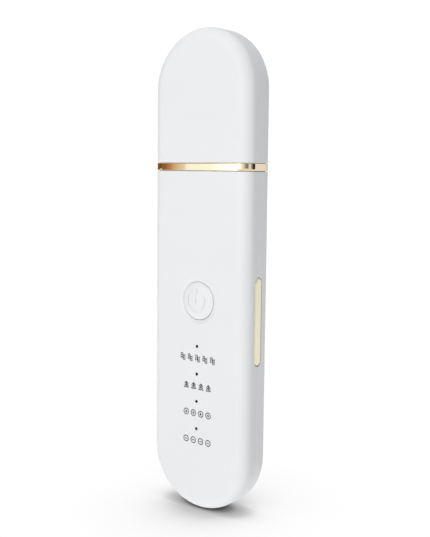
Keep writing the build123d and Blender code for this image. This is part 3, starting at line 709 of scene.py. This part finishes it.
wave_strokes = []
for level in (-0.75, 0, 0.75):
    wave_strokes.append(ink_arc(-0.5 * MM, level * MM, 0.5 * MM, 1))
    wave_strokes.append(ink_arc(0.5 * MM, level * MM, 0.5 * MM, -1))
arrow_strokes = [
    ink_bar(0, 0.1 * MM, 2.1 * MM), ink_bar(0, -1.1 * MM, 2.4 * MM, 90),
    ink_bar(-0.45 * MM, 0.6 * MM, 1.5 * MM, 45), ink_bar(0.45 * MM, 0.6 * MM, 1.5 * MM, -45),
    ink_bar(-0.45 * MM, -0.25 * MM, 1.5 * MM, 45), ink_bar(0.45 * MM, -0.25 * MM, 1.5 * MM, -45),
]
plus_strokes = [ink_ring(0, 0, SIGN_HALF), ink_bar(0, 0, 1.2 * MM), ink_bar(0, 0, 1.2 * MM, 90)]
minus_strokes = [ink_ring(0, 0, SIGN_HALF), ink_bar(0, 0, 1.2 * MM, 90)]

ink_rows = [
    ink_row("wave_marks", LIGHTS_Z[0], 5, wave_strokes),
    ink_row("lift_marks", LIGHTS_Z[1], 4, arrow_strokes),
    ink_row("more_marks", LIGHTS_Z[2], 4, plus_strokes),
    ink_row("less_marks", LIGHTS_Z[3], 4, minus_strokes),
]

# %% [markdown]
# ## The contact strip
# The hand touches this pale gold bar while the blade touches the face, which closes the
# circuit. It is a capsule with a softly crowned top, 0.05 mm below the side of the body.

# %% Make the strip
contact_strip = side_capsule("contact_strip", STRIP_HALF, strip_half_length, STRIP_OUT - STRIP_DEPTH, STRIP_OUT)
open_mesh(contact_strip)
pick(contact_strip, "EDGE", lambda edge: both_ends(edge, lambda co: co.x > STRIP_OUT - 0.01 * MM))
bpy.ops.mesh.bevel(offset=0.5 * MM, segments=6, profile=0.5, affect="EDGES", clamp_overlap=False)
close_mesh()
lay_down_tools()
leg_low = Vector((strip_low.x, -1.2 * MM, STRIP_Z - 2 * MM))
leg_high = Vector((STRIP_OUT - STRIP_DEPTH + 0.1 * MM, 1.2 * MM, STRIP_Z + 2 * MM))
bpy.ops.mesh.primitive_cube_add(size=1, location=(leg_low + leg_high) / 2, scale=leg_high - leg_low)
strip_leg = new_piece("strip_leg")
cut(contact_strip, strip_leg, "UNION")
smooth(contact_strip)
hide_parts("side_electrode")
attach(contact_strip, "handle")
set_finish(contact_strip, "pale_gold")
print("strip:", len(contact_strip.data.polygons), "faces")

# %% [markdown]
# ## The blade
# Under the cap is a spatula of spring steel, 0.8 mm thick. Such a blade is stamped from
# sheet, bent forward near its tip and ground there. A fine grid stands for the sheet: its
# rows are moved forward along the bend and drawn in towards the tip, the corners are cut
# round in short straight cuts, and then it gets its thickness and its ground tip.

# %% Bend the sheet
BLADE_HALF = blade_high.x
BLADE_TIP = blade_high.z
BLADE_THICKNESS = 0.8 * MM
TIP_HALF = 13.0 * MM
TIP_ROUND = 3.5 * MM
BEND_START = 150.0 * MM
BEND_RADIUS = 26.0 * MM
BEND_ANGLE = math.radians(12)


def forward_at(z):
    """How far the middle of the sheet lies in front of its straight part."""
    over = z - BEND_START
    if over <= BEND_RADIUS * math.sin(BEND_ANGLE):
        return BEND_RADIUS - math.sqrt(BEND_RADIUS ** 2 - over ** 2)
    straight = over - BEND_RADIUS * math.sin(BEND_ANGLE)
    return BEND_RADIUS * (1 - math.cos(BEND_ANGLE)) + straight * math.tan(BEND_ANGLE)


lay_down_tools()
bpy.ops.mesh.primitive_grid_add(
    x_subdivisions=12, y_subdivisions=45, size=1,
    location=(0, 0, (blade_low.z + BLADE_TIP) / 2), rotation=(math.pi / 2, 0, 0),
)
bpy.context.object.scale = (2 * BLADE_HALF, BLADE_TIP - blade_low.z, 1)
steel_blade = new_piece("steel_blade")
bent_rows = sorted({round(corner.co.z, 6) for corner in steel_blade.data.vertices if corner.co.z > BEND_START})
open_mesh(steel_blade)
for row_z in bent_rows:
    narrowing = 1 - (1 - TIP_HALF / BLADE_HALF) * (row_z - BEND_START) / (BLADE_TIP - BEND_START)
    pick(steel_blade, "VERT", lambda corner: abs(corner.co.z - row_z) < 0.01 * MM)
    bpy.ops.transform.translate(value=(0, -forward_at(row_z), 0))
    bpy.ops.transform.resize(value=(narrowing, 1, 1), center_override=(0, 0, row_z))
close_mesh()
print("bent rows:", len(bent_rows), "the tip lies", round(forward_at(BLADE_TIP) / MM, 2), "mm forward")

# %% [markdown]
# A corner is rounded by straight cuts, each turned 8 degrees further than the last. The
# back of the tip is then pushed forward, as if it had been ground to a wedge, and all
# sharp rims are broken, because this edge runs over skin.

# %% Round the corners, then give the sheet its thickness and its ground tip
GRIND = 0.45 * MM

for side in (-1, 1):
    for turn_degrees in range(14, 90, 8):
        turn_up = math.radians(turn_degrees)
        outward = Vector((side * math.cos(turn_up), 0, math.sin(turn_up)))
        corner_centre = Vector((side * (TIP_HALF + 0.5 * MM - TIP_ROUND), 0, BLADE_TIP - TIP_ROUND))
        open_mesh(steel_blade)
        bpy.ops.mesh.select_all(action="SELECT")
        bpy.ops.mesh.bisect(
            plane_co=corner_centre + outward * TIP_ROUND, plane_no=outward, use_fill=False, clear_outer=True)
        close_mesh()
apply_modifier(steel_blade, "SOLIDIFY", thickness=BLADE_THICKNESS, offset=0, use_even_offset=True)
open_mesh(steel_blade)
middle_of_tip = -forward_at(BLADE_TIP)
pick(steel_blade, "VERT", lambda corner: corner.co.z > BLADE_TIP - 0.4 * MM
     and corner.co.y > middle_of_tip + 0.1 * MM)
bpy.ops.transform.translate(value=(0, -GRIND, 0))
rim = pick(steel_blade, "EDGE", lambda edge: len(edge.link_faces) == 2
           and edge.calc_face_angle() > math.radians(50))
bpy.ops.mesh.bevel(offset=0.12 * MM, segments=2, profile=0.5, affect="EDGES", clamp_overlap=True)
close_mesh()
turn_faces_out(steel_blade)
smooth(steel_blade, 25)
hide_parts("blade")
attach(steel_blade, "handle")
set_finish(steel_blade, "steel_blade")
print("blade:", rim, "rim edges softened,", len(steel_blade.data.polygons), "faces")

# %% [markdown]
# ## Finishes
# Each finish is one material with its colour, its gloss and its fine surface. The
# pattern comes from noise on Object coordinates, which are metres here, so a scale of
# 4000 gives grains of a quarter of a millimetre. Numbers that are the same all over are
# set on the shader's own sockets.

# %% A small kit for node materials
def start_material(name):
    material = bpy.data.materials.new(name)
    material.use_nodes = True
    nodes = material.node_tree.nodes
    nodes.clear()
    output = nodes.new("ShaderNodeOutputMaterial")
    shader = nodes.new("ShaderNodeBsdfPrincipled")
    material.node_tree.links.new(shader.outputs["BSDF"], output.inputs["Surface"])
    return material, shader


def noise_on_object(material, scale, detail=3.0, stretch=(1, 1, 1)):
    """Noise in metres of the object. A stretch above 1 squeezes the pattern along that axis."""
    nodes, links = material.node_tree.nodes, material.node_tree.links
    place = nodes.new("ShaderNodeTexCoord")
    mapping = nodes.new("ShaderNodeMapping")
    mapping.inputs["Scale"].default_value = stretch
    noise = nodes.new("ShaderNodeTexNoise")
    noise.inputs["Scale"].default_value = scale
    noise.inputs["Detail"].default_value = detail
    links.new(place.outputs["Object"], mapping.inputs["Vector"])
    links.new(mapping.outputs["Vector"], noise.inputs["Vector"])
    return noise.outputs["Fac"]


def spread(material, value, low, high):
    """Turn noise, which stays near its middle, into a number between low and high."""
    node = material.node_tree.nodes.new("ShaderNodeMapRange")
    node.inputs["From Min"].default_value = 0.3
    node.inputs["From Max"].default_value = 0.7
    node.inputs["To Min"].default_value = low
    node.inputs["To Max"].default_value = high
    material.node_tree.links.new(value, node.inputs["Value"])
    return node.outputs["Result"]


def two_tones(material, value, dark, light):
    node = material.node_tree.nodes.new("ShaderNodeValToRGB")
    node.color_ramp.elements[0].position = 0.3
    node.color_ramp.elements[0].color = (*dark, 1)
    node.color_ramp.elements[1].position = 0.7
    node.color_ramp.elements[1].color = (*light, 1)
    material.node_tree.links.new(value, node.inputs["Fac"])
    return node.outputs["Color"]


def grain(material, shader, value, strength, depth):
    """Fine relief: depth is in metres."""
    bump = material.node_tree.nodes.new("ShaderNodeBump")
    bump.inputs["Strength"].default_value = strength
    bump.inputs["Distance"].default_value = depth
    material.node_tree.links.new(value, bump.inputs["Height"])
    material.node_tree.links.new(bump.outputs["Normal"], shader.inputs["Normal"])


# %% One recipe, many finishes
def finish(name, dark, light, rough, grain_scale, grain_depth,
           metal=0.0, tone_scale=60, stretch=(1, 1, 1), **sockets):
    """Two close tones, a range of roughness and a grain. The rest goes to the shader's sockets by name."""
    material, shader = start_material(name)
    links = material.node_tree.links
    tone = noise_on_object(material, tone_scale, 4.0)
    fine = noise_on_object(material, grain_scale, 2.0, stretch)
    links.new(two_tones(material, tone, dark, light), shader.inputs["Base Color"])
    links.new(spread(material, fine, *rough), shader.inputs["Roughness"])
    grain(material, shader, fine, 1.0, grain_depth)
    shader.inputs["Metallic"].default_value = metal
    for socket, value in sockets.items():
        shader.inputs[socket.replace("_", " ")].default_value = value
    return material


# %% [markdown]
# The white is a fine spark-eroded texture: a dense grain far below what the eye can
# split, which turns gloss into a soft bloom. The gold hoop is plated and polished, so
# it has almost no grain and mirrors the studio. The strip is the same metal, paler and
# satin, brushed along its length. The numbers below are the tones in linear colour.

# %% Mix the finishes by slot
finishes = {
    "white_plastic": finish(
        "moulded_white", (0.855, 0.862, 0.872), (0.872, 0.878, 0.888),
        (0.42, 0.5), 5200, 0.004 * MM, tone_scale=45),
    "neck_plastic": finish(
        "satin_white", (0.78, 0.79, 0.8), (0.81, 0.82, 0.83), (0.3, 0.38), 3600, 0.003 * MM),
    "gold_trim": finish(
        "polished_gold", (0.92, 0.745, 0.51), (0.94, 0.765, 0.53), (0.02, 0.035), 700, 0.0001 * MM, metal=1.0),
    "pale_gold": finish(
        "satin_gold", (0.89, 0.84, 0.63), (0.92, 0.87, 0.67),
        (0.24, 0.34), 2600, 0.0015 * MM, metal=1.0, stretch=(1, 1, 0.04)),
    "steel_blade": finish(
        "brushed_steel", (0.62, 0.62, 0.62), (0.66, 0.66, 0.665),
        (0.2, 0.27), 3000, 0.0007 * MM, metal=1.0, stretch=(1, 1, 0.03)),
    "grey_silicone": finish(
        "grey_silicone", (0.3, 0.31, 0.32), (0.34, 0.35, 0.36),
        (0.5, 0.62), 4200, 0.004 * MM, Subsurface_Weight=0.05),
    "piezo_ceramic": finish(
        "silvered_ceramic", (0.55, 0.54, 0.5), (0.66, 0.65, 0.61),
        (0.4, 0.55), 5200, 0.004 * MM, metal=0.6, tone_scale=600),
    "red_wire": finish("red_sleeve", (0.42, 0.02, 0.02), (0.5, 0.03, 0.025), (0.35, 0.45), 3800, 0.003 * MM),
    "steel_screw": finish(
        "screw_steel", (0.42, 0.42, 0.43), (0.55, 0.55, 0.56),
        (0.22, 0.4), 4500, 0.002 * MM, metal=1.0, tone_scale=900),
    "grey_plastic": finish(
        "ribbed_grey", (0.3, 0.31, 0.33), (0.34, 0.35, 0.37), (0.42, 0.55), 3600, 0.005 * MM),
    "board_green": finish(
        "board_green", (0.01, 0.12, 0.05), (0.02, 0.17, 0.07), (0.25, 0.4), 2400, 0.003 * MM, tone_scale=500),
    "black_plastic": finish(
        "black_resin", (0.012, 0.012, 0.013), (0.025, 0.025, 0.027),
        (0.35, 0.5), 4200, 0.004 * MM, tone_scale=800),
    "smoked_clear": finish(
        "smoked_clear", (0.008, 0.008, 0.008), (0.014, 0.013, 0.013),
        (0.1, 0.18), 2600, 0.001 * MM, tone_scale=700, Specular_IOR_Level=0.12),
    "white_lamp": finish(
        "lamp_resin", (0.8, 0.76, 0.55), (0.88, 0.85, 0.66), (0.2, 0.3), 4200, 0.002 * MM, tone_scale=900),
    "ferrite": finish(
        "ferrite", (0.035, 0.034, 0.036), (0.07, 0.068, 0.07), (0.4, 0.6), 5200, 0.008 * MM, tone_scale=1200),
    "copper_wire": finish(
        "enamelled_copper", (0.5, 0.2, 0.08), (0.7, 0.32, 0.14),
        (0.2, 0.36), 2600, 0.02 * MM, metal=1.0, tone_scale=900, stretch=(1, 3, 1)),
    "can_aluminium": finish(
        "can_aluminium", (0.62, 0.63, 0.64), (0.72, 0.73, 0.74), (0.22, 0.36), 3600, 0.003 * MM, metal=1.0),
    "cell_foil": finish(
        "cell_foil", (0.56, 0.57, 0.58), (0.66, 0.67, 0.68),
        (0.26, 0.42), 900, 0.03 * MM, metal=0.85, tone_scale=200),
    "black_foam": finish(
        "foam_tape", (0.02, 0.02, 0.02), (0.045, 0.045, 0.045), (0.8, 0.95), 2200, 0.06 * MM, tone_scale=1500),
    "socket_steel": finish(
        "socket_steel", (0.5, 0.5, 0.51), (0.6, 0.6, 0.61), (0.18, 0.3), 3600, 0.002 * MM, metal=1.0),
    "spring_brass": finish(
        "spring_brass", (0.62, 0.44, 0.16), (0.75, 0.55, 0.24), (0.2, 0.34), 3000, 0.002 * MM, metal=1.0),
}
printed_ink = finish(
    "printed_ink", (0.05, 0.05, 0.055), (0.075, 0.075, 0.08), (0.5, 0.65), 5200, 0.003 * MM, tone_scale=900)
print("finishes:", len(finishes) + 1)


# %% Give every piece its finish
def paint(piece, material):
    piece.data.materials.clear()
    piece.data.materials.append(material)


slot_of_node = {part["node"]: part["material_slot"] for part in frame["record"]["subparts"]}
for node, obj in frame["nodes"].items():
    paint(obj, finishes[slot_of_node[node]])
new_pieces = (cap_cover, front_half, rear_half, gold_hoop, power_disc, light_rail, contact_strip, steel_blade)
for piece in new_pieces:
    paint(piece, finishes[piece["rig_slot"]])
for row in ink_rows:
    paint(row, printed_ink)

# %% [markdown]
# ## The table
# The object stands on a pale floor that fades into white. The floor glows evenly and lights
# the object softly from below. For the camera its glow is darkened by a painted shadow: how
# much of the open sky each point can see, within a short reach, sets the depth of the soft
# shadow round the foot. The object is the only thing that darkens it.

# %% Lay the floor, with a painted shadow round the foot
SHADOW_REACH = 75 * MM
SHADOW_TONES = [
    # share of open sky, brightness
    (0.0, 0.02), (0.1, 0.05), (0.18, 0.12), (0.3, 0.25), (0.4, 0.425), (0.54, 0.52), (0.62, 0.66), (0.68, 0.82),
    (0.76, 0.92), (0.86, 0.975), (1.0, 1.02),
]
FLOOR_GLOW = 0.9

lay_down_tools()
bpy.ops.mesh.primitive_plane_add(size=3.0, location=(0, 0, 0))
floor = new_piece("floor")
floor_material = bpy.data.materials.new("floor_painted_shadow")
floor_material.use_nodes = True
tiles, cables = floor_material.node_tree.nodes, floor_material.node_tree.links
tiles.clear()
# Painted shadow: the share of open sky round each point, from ambient occlusion, picks a tone from the list above.
painted_shadow_open_sky = tiles.new("ShaderNodeAmbientOcclusion")
painted_shadow_open_sky.samples = 24
painted_shadow_open_sky.inputs["Distance"].default_value = SHADOW_REACH
tones = tiles.new("ShaderNodeValToRGB")
for place, (share, level) in enumerate(SHADOW_TONES):
    stop = tones.color_ramp.elements[place] if place < 2 else tones.color_ramp.elements.new(share)
    stop.position = share
    stop.color = (level, level, level, 1)
# The camera sees the floor's glow in that tone, so the soft shadow is painted into the glow; every other ray sees
# the even glow.
painted_shadow_glow = tiles.new("ShaderNodeEmission")
glow = tiles.new("ShaderNodeEmission")
glow.inputs["Color"].default_value = (FLOOR_GLOW, FLOOR_GLOW, FLOOR_GLOW, 1)
who_looks = tiles.new("ShaderNodeLightPath")
floor_choice = tiles.new("ShaderNodeMixShader")
floor_output = tiles.new("ShaderNodeOutputMaterial")
cables.new(painted_shadow_open_sky.outputs["AO"], tones.inputs["Fac"])
cables.new(tones.outputs["Color"], painted_shadow_glow.inputs["Color"])
cables.new(who_looks.outputs["Is Camera Ray"], floor_choice.inputs["Fac"])
cables.new(glow.outputs[0], floor_choice.inputs[1])
cables.new(painted_shadow_glow.outputs[0], floor_choice.inputs[2])
cables.new(floor_choice.outputs[0], floor_output.inputs["Surface"])
floor.data.materials.append(floor_material)

# %% [markdown]
# ## The studio
# A mirror-like hoop shows whatever stands around it, so the studio is drawn as a ring
# of panels: brown cloth on the far left, a bright panel on the left of the camera, a
# gap, a bright strip on the right, black cloth, and a panel behind. The heading of a
# direction picks the panel. Only glossy reflections see them; the matte surfaces get an
# even haze, and the lamps below do their shading.

# %% Hang the panels round the object
PANELS = [
    # heading in degrees (0 is straight in front, 90 is right), colour
    (-180, (0.65, 0.65, 0.66)), (-150, (0.5, 0.46, 0.42)), (-120, (0.3, 0.22, 0.15)), (-80, (0.16, 0.1, 0.05)),
    (-48, (0.18, 0.09, 0.03)), (-39.7, (0.2, 0.1, 0.03)), (-39.3, (0.42, 0.2, 0.08)), (-38.9, (0.62, 0.38, 0.2)),
    (-38.5, (0.74, 0.6, 0.46)), (-38.1, (0.8, 0.74, 0.62)), (-37.7, (1.1, 1.2, 1.25)), (-36.4, (1.25, 1.25, 1.25)),
    (-35.4, (1.9, 1.9, 1.9)), (-34.7, (2.3, 2.3, 2.3)), (-12, (2.3, 2.3, 2.3)), (-3, (1.2, 1.2, 1.2)),
    (15, (0.9, 0.92, 0.95)), (25, (0.7, 0.72, 0.74)), (36, (0.44, 0.48, 0.5)), (45, (0.25, 0.25, 0.27)),
    (59, (0.22, 0.22, 0.24)), (69, (0.55, 0.57, 0.63)), (78, (0.95, 1.0, 1.15)), (87, (0.75, 0.8, 0.86)),
    (97, (0.32, 0.32, 0.36)), (112, (0.1, 0.08, 0.05)), (122, (0.01, 0.01, 0.01)), (136, (0.01, 0.01, 0.01)),
    (144, (0.88, 0.9, 0.98)), (152, (0.84, 0.86, 0.95)), (180, (0.62, 0.64, 0.68)),
]
# Where the cloth ends and the bright panel starts, the change is finer than the list
# above can hold, so this short stretch has a list of its own.
PANEL_TURN = 2.05
EDGE_FROM, EDGE_TO = -42.0, -33.0
PANEL_EDGE = [
    (-42, (0.2, 0.11, 0.03)), (-39.6, (0.25, 0.15, 0.05)), (-39.39, (0.19, 0.106, 0.022)),
    (-39.23, (0.45, 0.22, 0.1)), (-39.07, (0.44, 0.21, 0.09)), (-38.91, (0.61, 0.387, 0.206)),
    (-38.75, (0.72, 0.5, 0.28)), (-38.59, (0.72, 0.58, 0.39)), (-38.43, (0.76, 0.69, 0.53)),
    (-38.11, (0.79, 0.756, 0.72)), (-38.0, (1.03, 1.16, 1.3)), (-36.4, (1.25, 1.25, 1.25)),
    (-35.4, (1.9, 1.9, 1.9)), (-34.7, (2.3, 2.3, 2.3)), (-33, (2.3, 2.3, 2.3)),
]
BRIGHTEST = 2.5
CEILING = 0.8
HAZE = 0.12

world = bpy.data.worlds.new("studio")
bpy.context.scene.world = world
world.use_nodes = True
sky, wires = world.node_tree.nodes, world.node_tree.links
sky.clear()


def sky_math(operation, *values):
    node = sky.new("ShaderNodeMath")
    node.operation = operation
    for place, value in enumerate(values):
        if isinstance(value, (int, float)):
            node.inputs[place].default_value = value
        else:
            wires.new(value, node.inputs[place])
    return node.outputs[0]


direction = sky.new("ShaderNodeTexCoord")
parts = sky.new("ShaderNodeSeparateXYZ")
wires.new(direction.outputs["Generated"], parts.inputs[0])
heading = sky_math("ARCTAN2", parts.outputs["X"], sky_math("MULTIPLY", parts.outputs["Y"], -1))
degrees_round = sky_math("MULTIPLY_ADD", heading, 180 / math.pi, PANEL_TURN)


def panel_ramp(panel_list, start, end):
    """The colours of the panels between two headings."""
    ramp = sky.new("ShaderNodeValToRGB")
    stops = ramp.color_ramp.elements
    for place, (degrees, colour) in enumerate(panel_list):
        stop = stops[place] if place < 2 else stops.new((degrees - start) / (end - start))
        stop.position = (degrees - start) / (end - start)
        stop.color = (*(channel / BRIGHTEST for channel in colour), 1)
    share = sky_math("MULTIPLY_ADD", degrees_round, 1 / (end - start), -start / (end - start))
    wires.new(share, ramp.inputs["Fac"])
    return ramp


panels = panel_ramp(PANELS, -180, 180)
panel_edge = panel_ramp(PANEL_EDGE, EDGE_FROM, EDGE_TO)
on_edge = sky_math("COMPARE", degrees_round, (EDGE_FROM + EDGE_TO) / 2, (EDGE_TO - EDGE_FROM) / 2)
height = sky.new("ShaderNodeMapRange")
height.interpolation_type = "SMOOTHSTEP"
height.inputs["From Min"].default_value = math.sin(math.radians(20))
height.inputs["From Max"].default_value = math.sin(math.radians(48))
wires.new(parts.outputs["Z"], height.inputs["Value"])


def background(colour, strength):
    node = sky.new("ShaderNodeBackground")
    node.inputs["Color"].default_value = (*colour, 1)
    node.inputs["Strength"].default_value = strength
    return node


def choose(switch, no, yes):
    node = sky.new("ShaderNodeMixShader")
    wires.new(switch, node.inputs["Fac"])
    wires.new(no.outputs[0], node.inputs[1])
    wires.new(yes.outputs[0], node.inputs[2])
    return node


panel_light = background((1, 1, 1), BRIGHTEST)
wires.new(panels.outputs["Color"], panel_light.inputs["Color"])
edge_light = background((1, 1, 1), BRIGHTEST)
wires.new(panel_edge.outputs["Color"], edge_light.inputs["Color"])
all_round = choose(on_edge, panel_light, edge_light)
around = choose(height.outputs["Result"], all_round, background((0.98, 1.0, 1.03), CEILING))
path = sky.new("ShaderNodeLightPath")
matte_or_gloss = choose(path.outputs["Is Glossy Ray"], background((0.97, 1.0, 1.04), HAZE), around)
sky_out = sky.new("ShaderNodeOutputWorld")
with_backdrop = choose(path.outputs["Is Camera Ray"], matte_or_gloss, background((1, 1, 1), 1.1))
wires.new(with_backdrop.outputs[0], sky_out.inputs["Surface"])


# %% [markdown]
# Soft lamps do the shading. The main one stands in front, a weaker one behind the left
# edge keeps that edge light, two on the right fill the side, and one hangs overhead. One
# behind lights the back, and a small one near the floor lifts the foot.

# %% Set the lamps
def soft_lamp(name, heading_degrees, up_degrees, level, size=0.5, distance=1.0, colour=(1, 1, 1)):
    """level is how bright a white sheet that faces the lamp gets, where 1 is full white."""
    lamp = bpy.data.lights.new(name, "AREA")
    lamp.shape = "DISK"
    lamp.size = size
    lamp.energy = level * (math.pi * distance) ** 2
    lamp.color = colour
    lamp_object = bpy.data.objects.new(name, lamp)
    bpy.context.scene.collection.objects.link(lamp_object)
    a, e = math.radians(heading_degrees), math.radians(up_degrees)
    away = Vector((math.sin(a) * math.cos(e), -math.cos(a) * math.cos(e), math.sin(e)))
    lamp_object.location = Vector((0, 0, TOP / 2)) + away * distance
    lamp_object.rotation_euler = away.to_track_quat("Z", "Y").to_euler()
    lamp_object.visible_glossy = False
    return lamp_object


soft_lamp("front_lamp", 0, 15, 0.46)
soft_lamp("left_lamp", -110, 15, 0.2)
soft_lamp("right_lamp", 60, 15, 0.05)
soft_lamp("side_lamp", 100, 15, 0.035, colour=(0.94, 1.0, 1.1))
soft_lamp("top_lamp", 0, 88, 0.46)
soft_lamp("rear_lamp", -165, 15, 0.34)
soft_lamp("low_lamp", 65, -13, 0.05, size=0.15, distance=0.25)

# %% [markdown]
# ## The camera
# A lens of medium length stands to the right of the object and slightly above its
# middle, close enough that the nearer edge looks larger than the far one.

# %% Stand the camera
CAMERA_HEADING = math.radians(38.1)
CAMERA_HEIGHT = math.radians(6.34)
CAMERA_ROLL = math.radians(0.592)
CAMERA_AIM = Vector((8.13, -7.5, 91.98)) * MM
CAMERA_DISTANCE = 313.5 * MM
SENSOR_WIDTH = 36
LENS = 58.4246

back = Vector((
    math.sin(CAMERA_HEADING) * math.cos(CAMERA_HEIGHT),
    -math.cos(CAMERA_HEADING) * math.cos(CAMERA_HEIGHT),
    math.sin(CAMERA_HEIGHT),
))
right = Vector((math.cos(CAMERA_HEADING), math.sin(CAMERA_HEADING), 0))
up = back.cross(right)
rolled_right = right * math.cos(CAMERA_ROLL) + up * math.sin(CAMERA_ROLL)
rolled_up = up * math.cos(CAMERA_ROLL) - right * math.sin(CAMERA_ROLL)

camera_data = bpy.data.cameras.new("camera")
camera_data.sensor_width = SENSOR_WIDTH
camera_data.lens = LENS
camera_data.clip_start = 0.01
camera_data.clip_end = 10
camera = bpy.data.objects.new("camera", camera_data)
bpy.context.scene.collection.objects.link(camera)
turn = Matrix((rolled_right, rolled_up, back)).transposed().to_4x4()
camera.matrix_world = Matrix.Translation(CAMERA_AIM + back * CAMERA_DISTANCE) @ turn
bpy.context.scene.camera = camera
bpy.context.scene.view_settings.view_transform = "Standard"
print("camera at", [round(v / MM, 1) for v in camera.location], "mm, lens", round(camera_data.lens, 2), "mm")
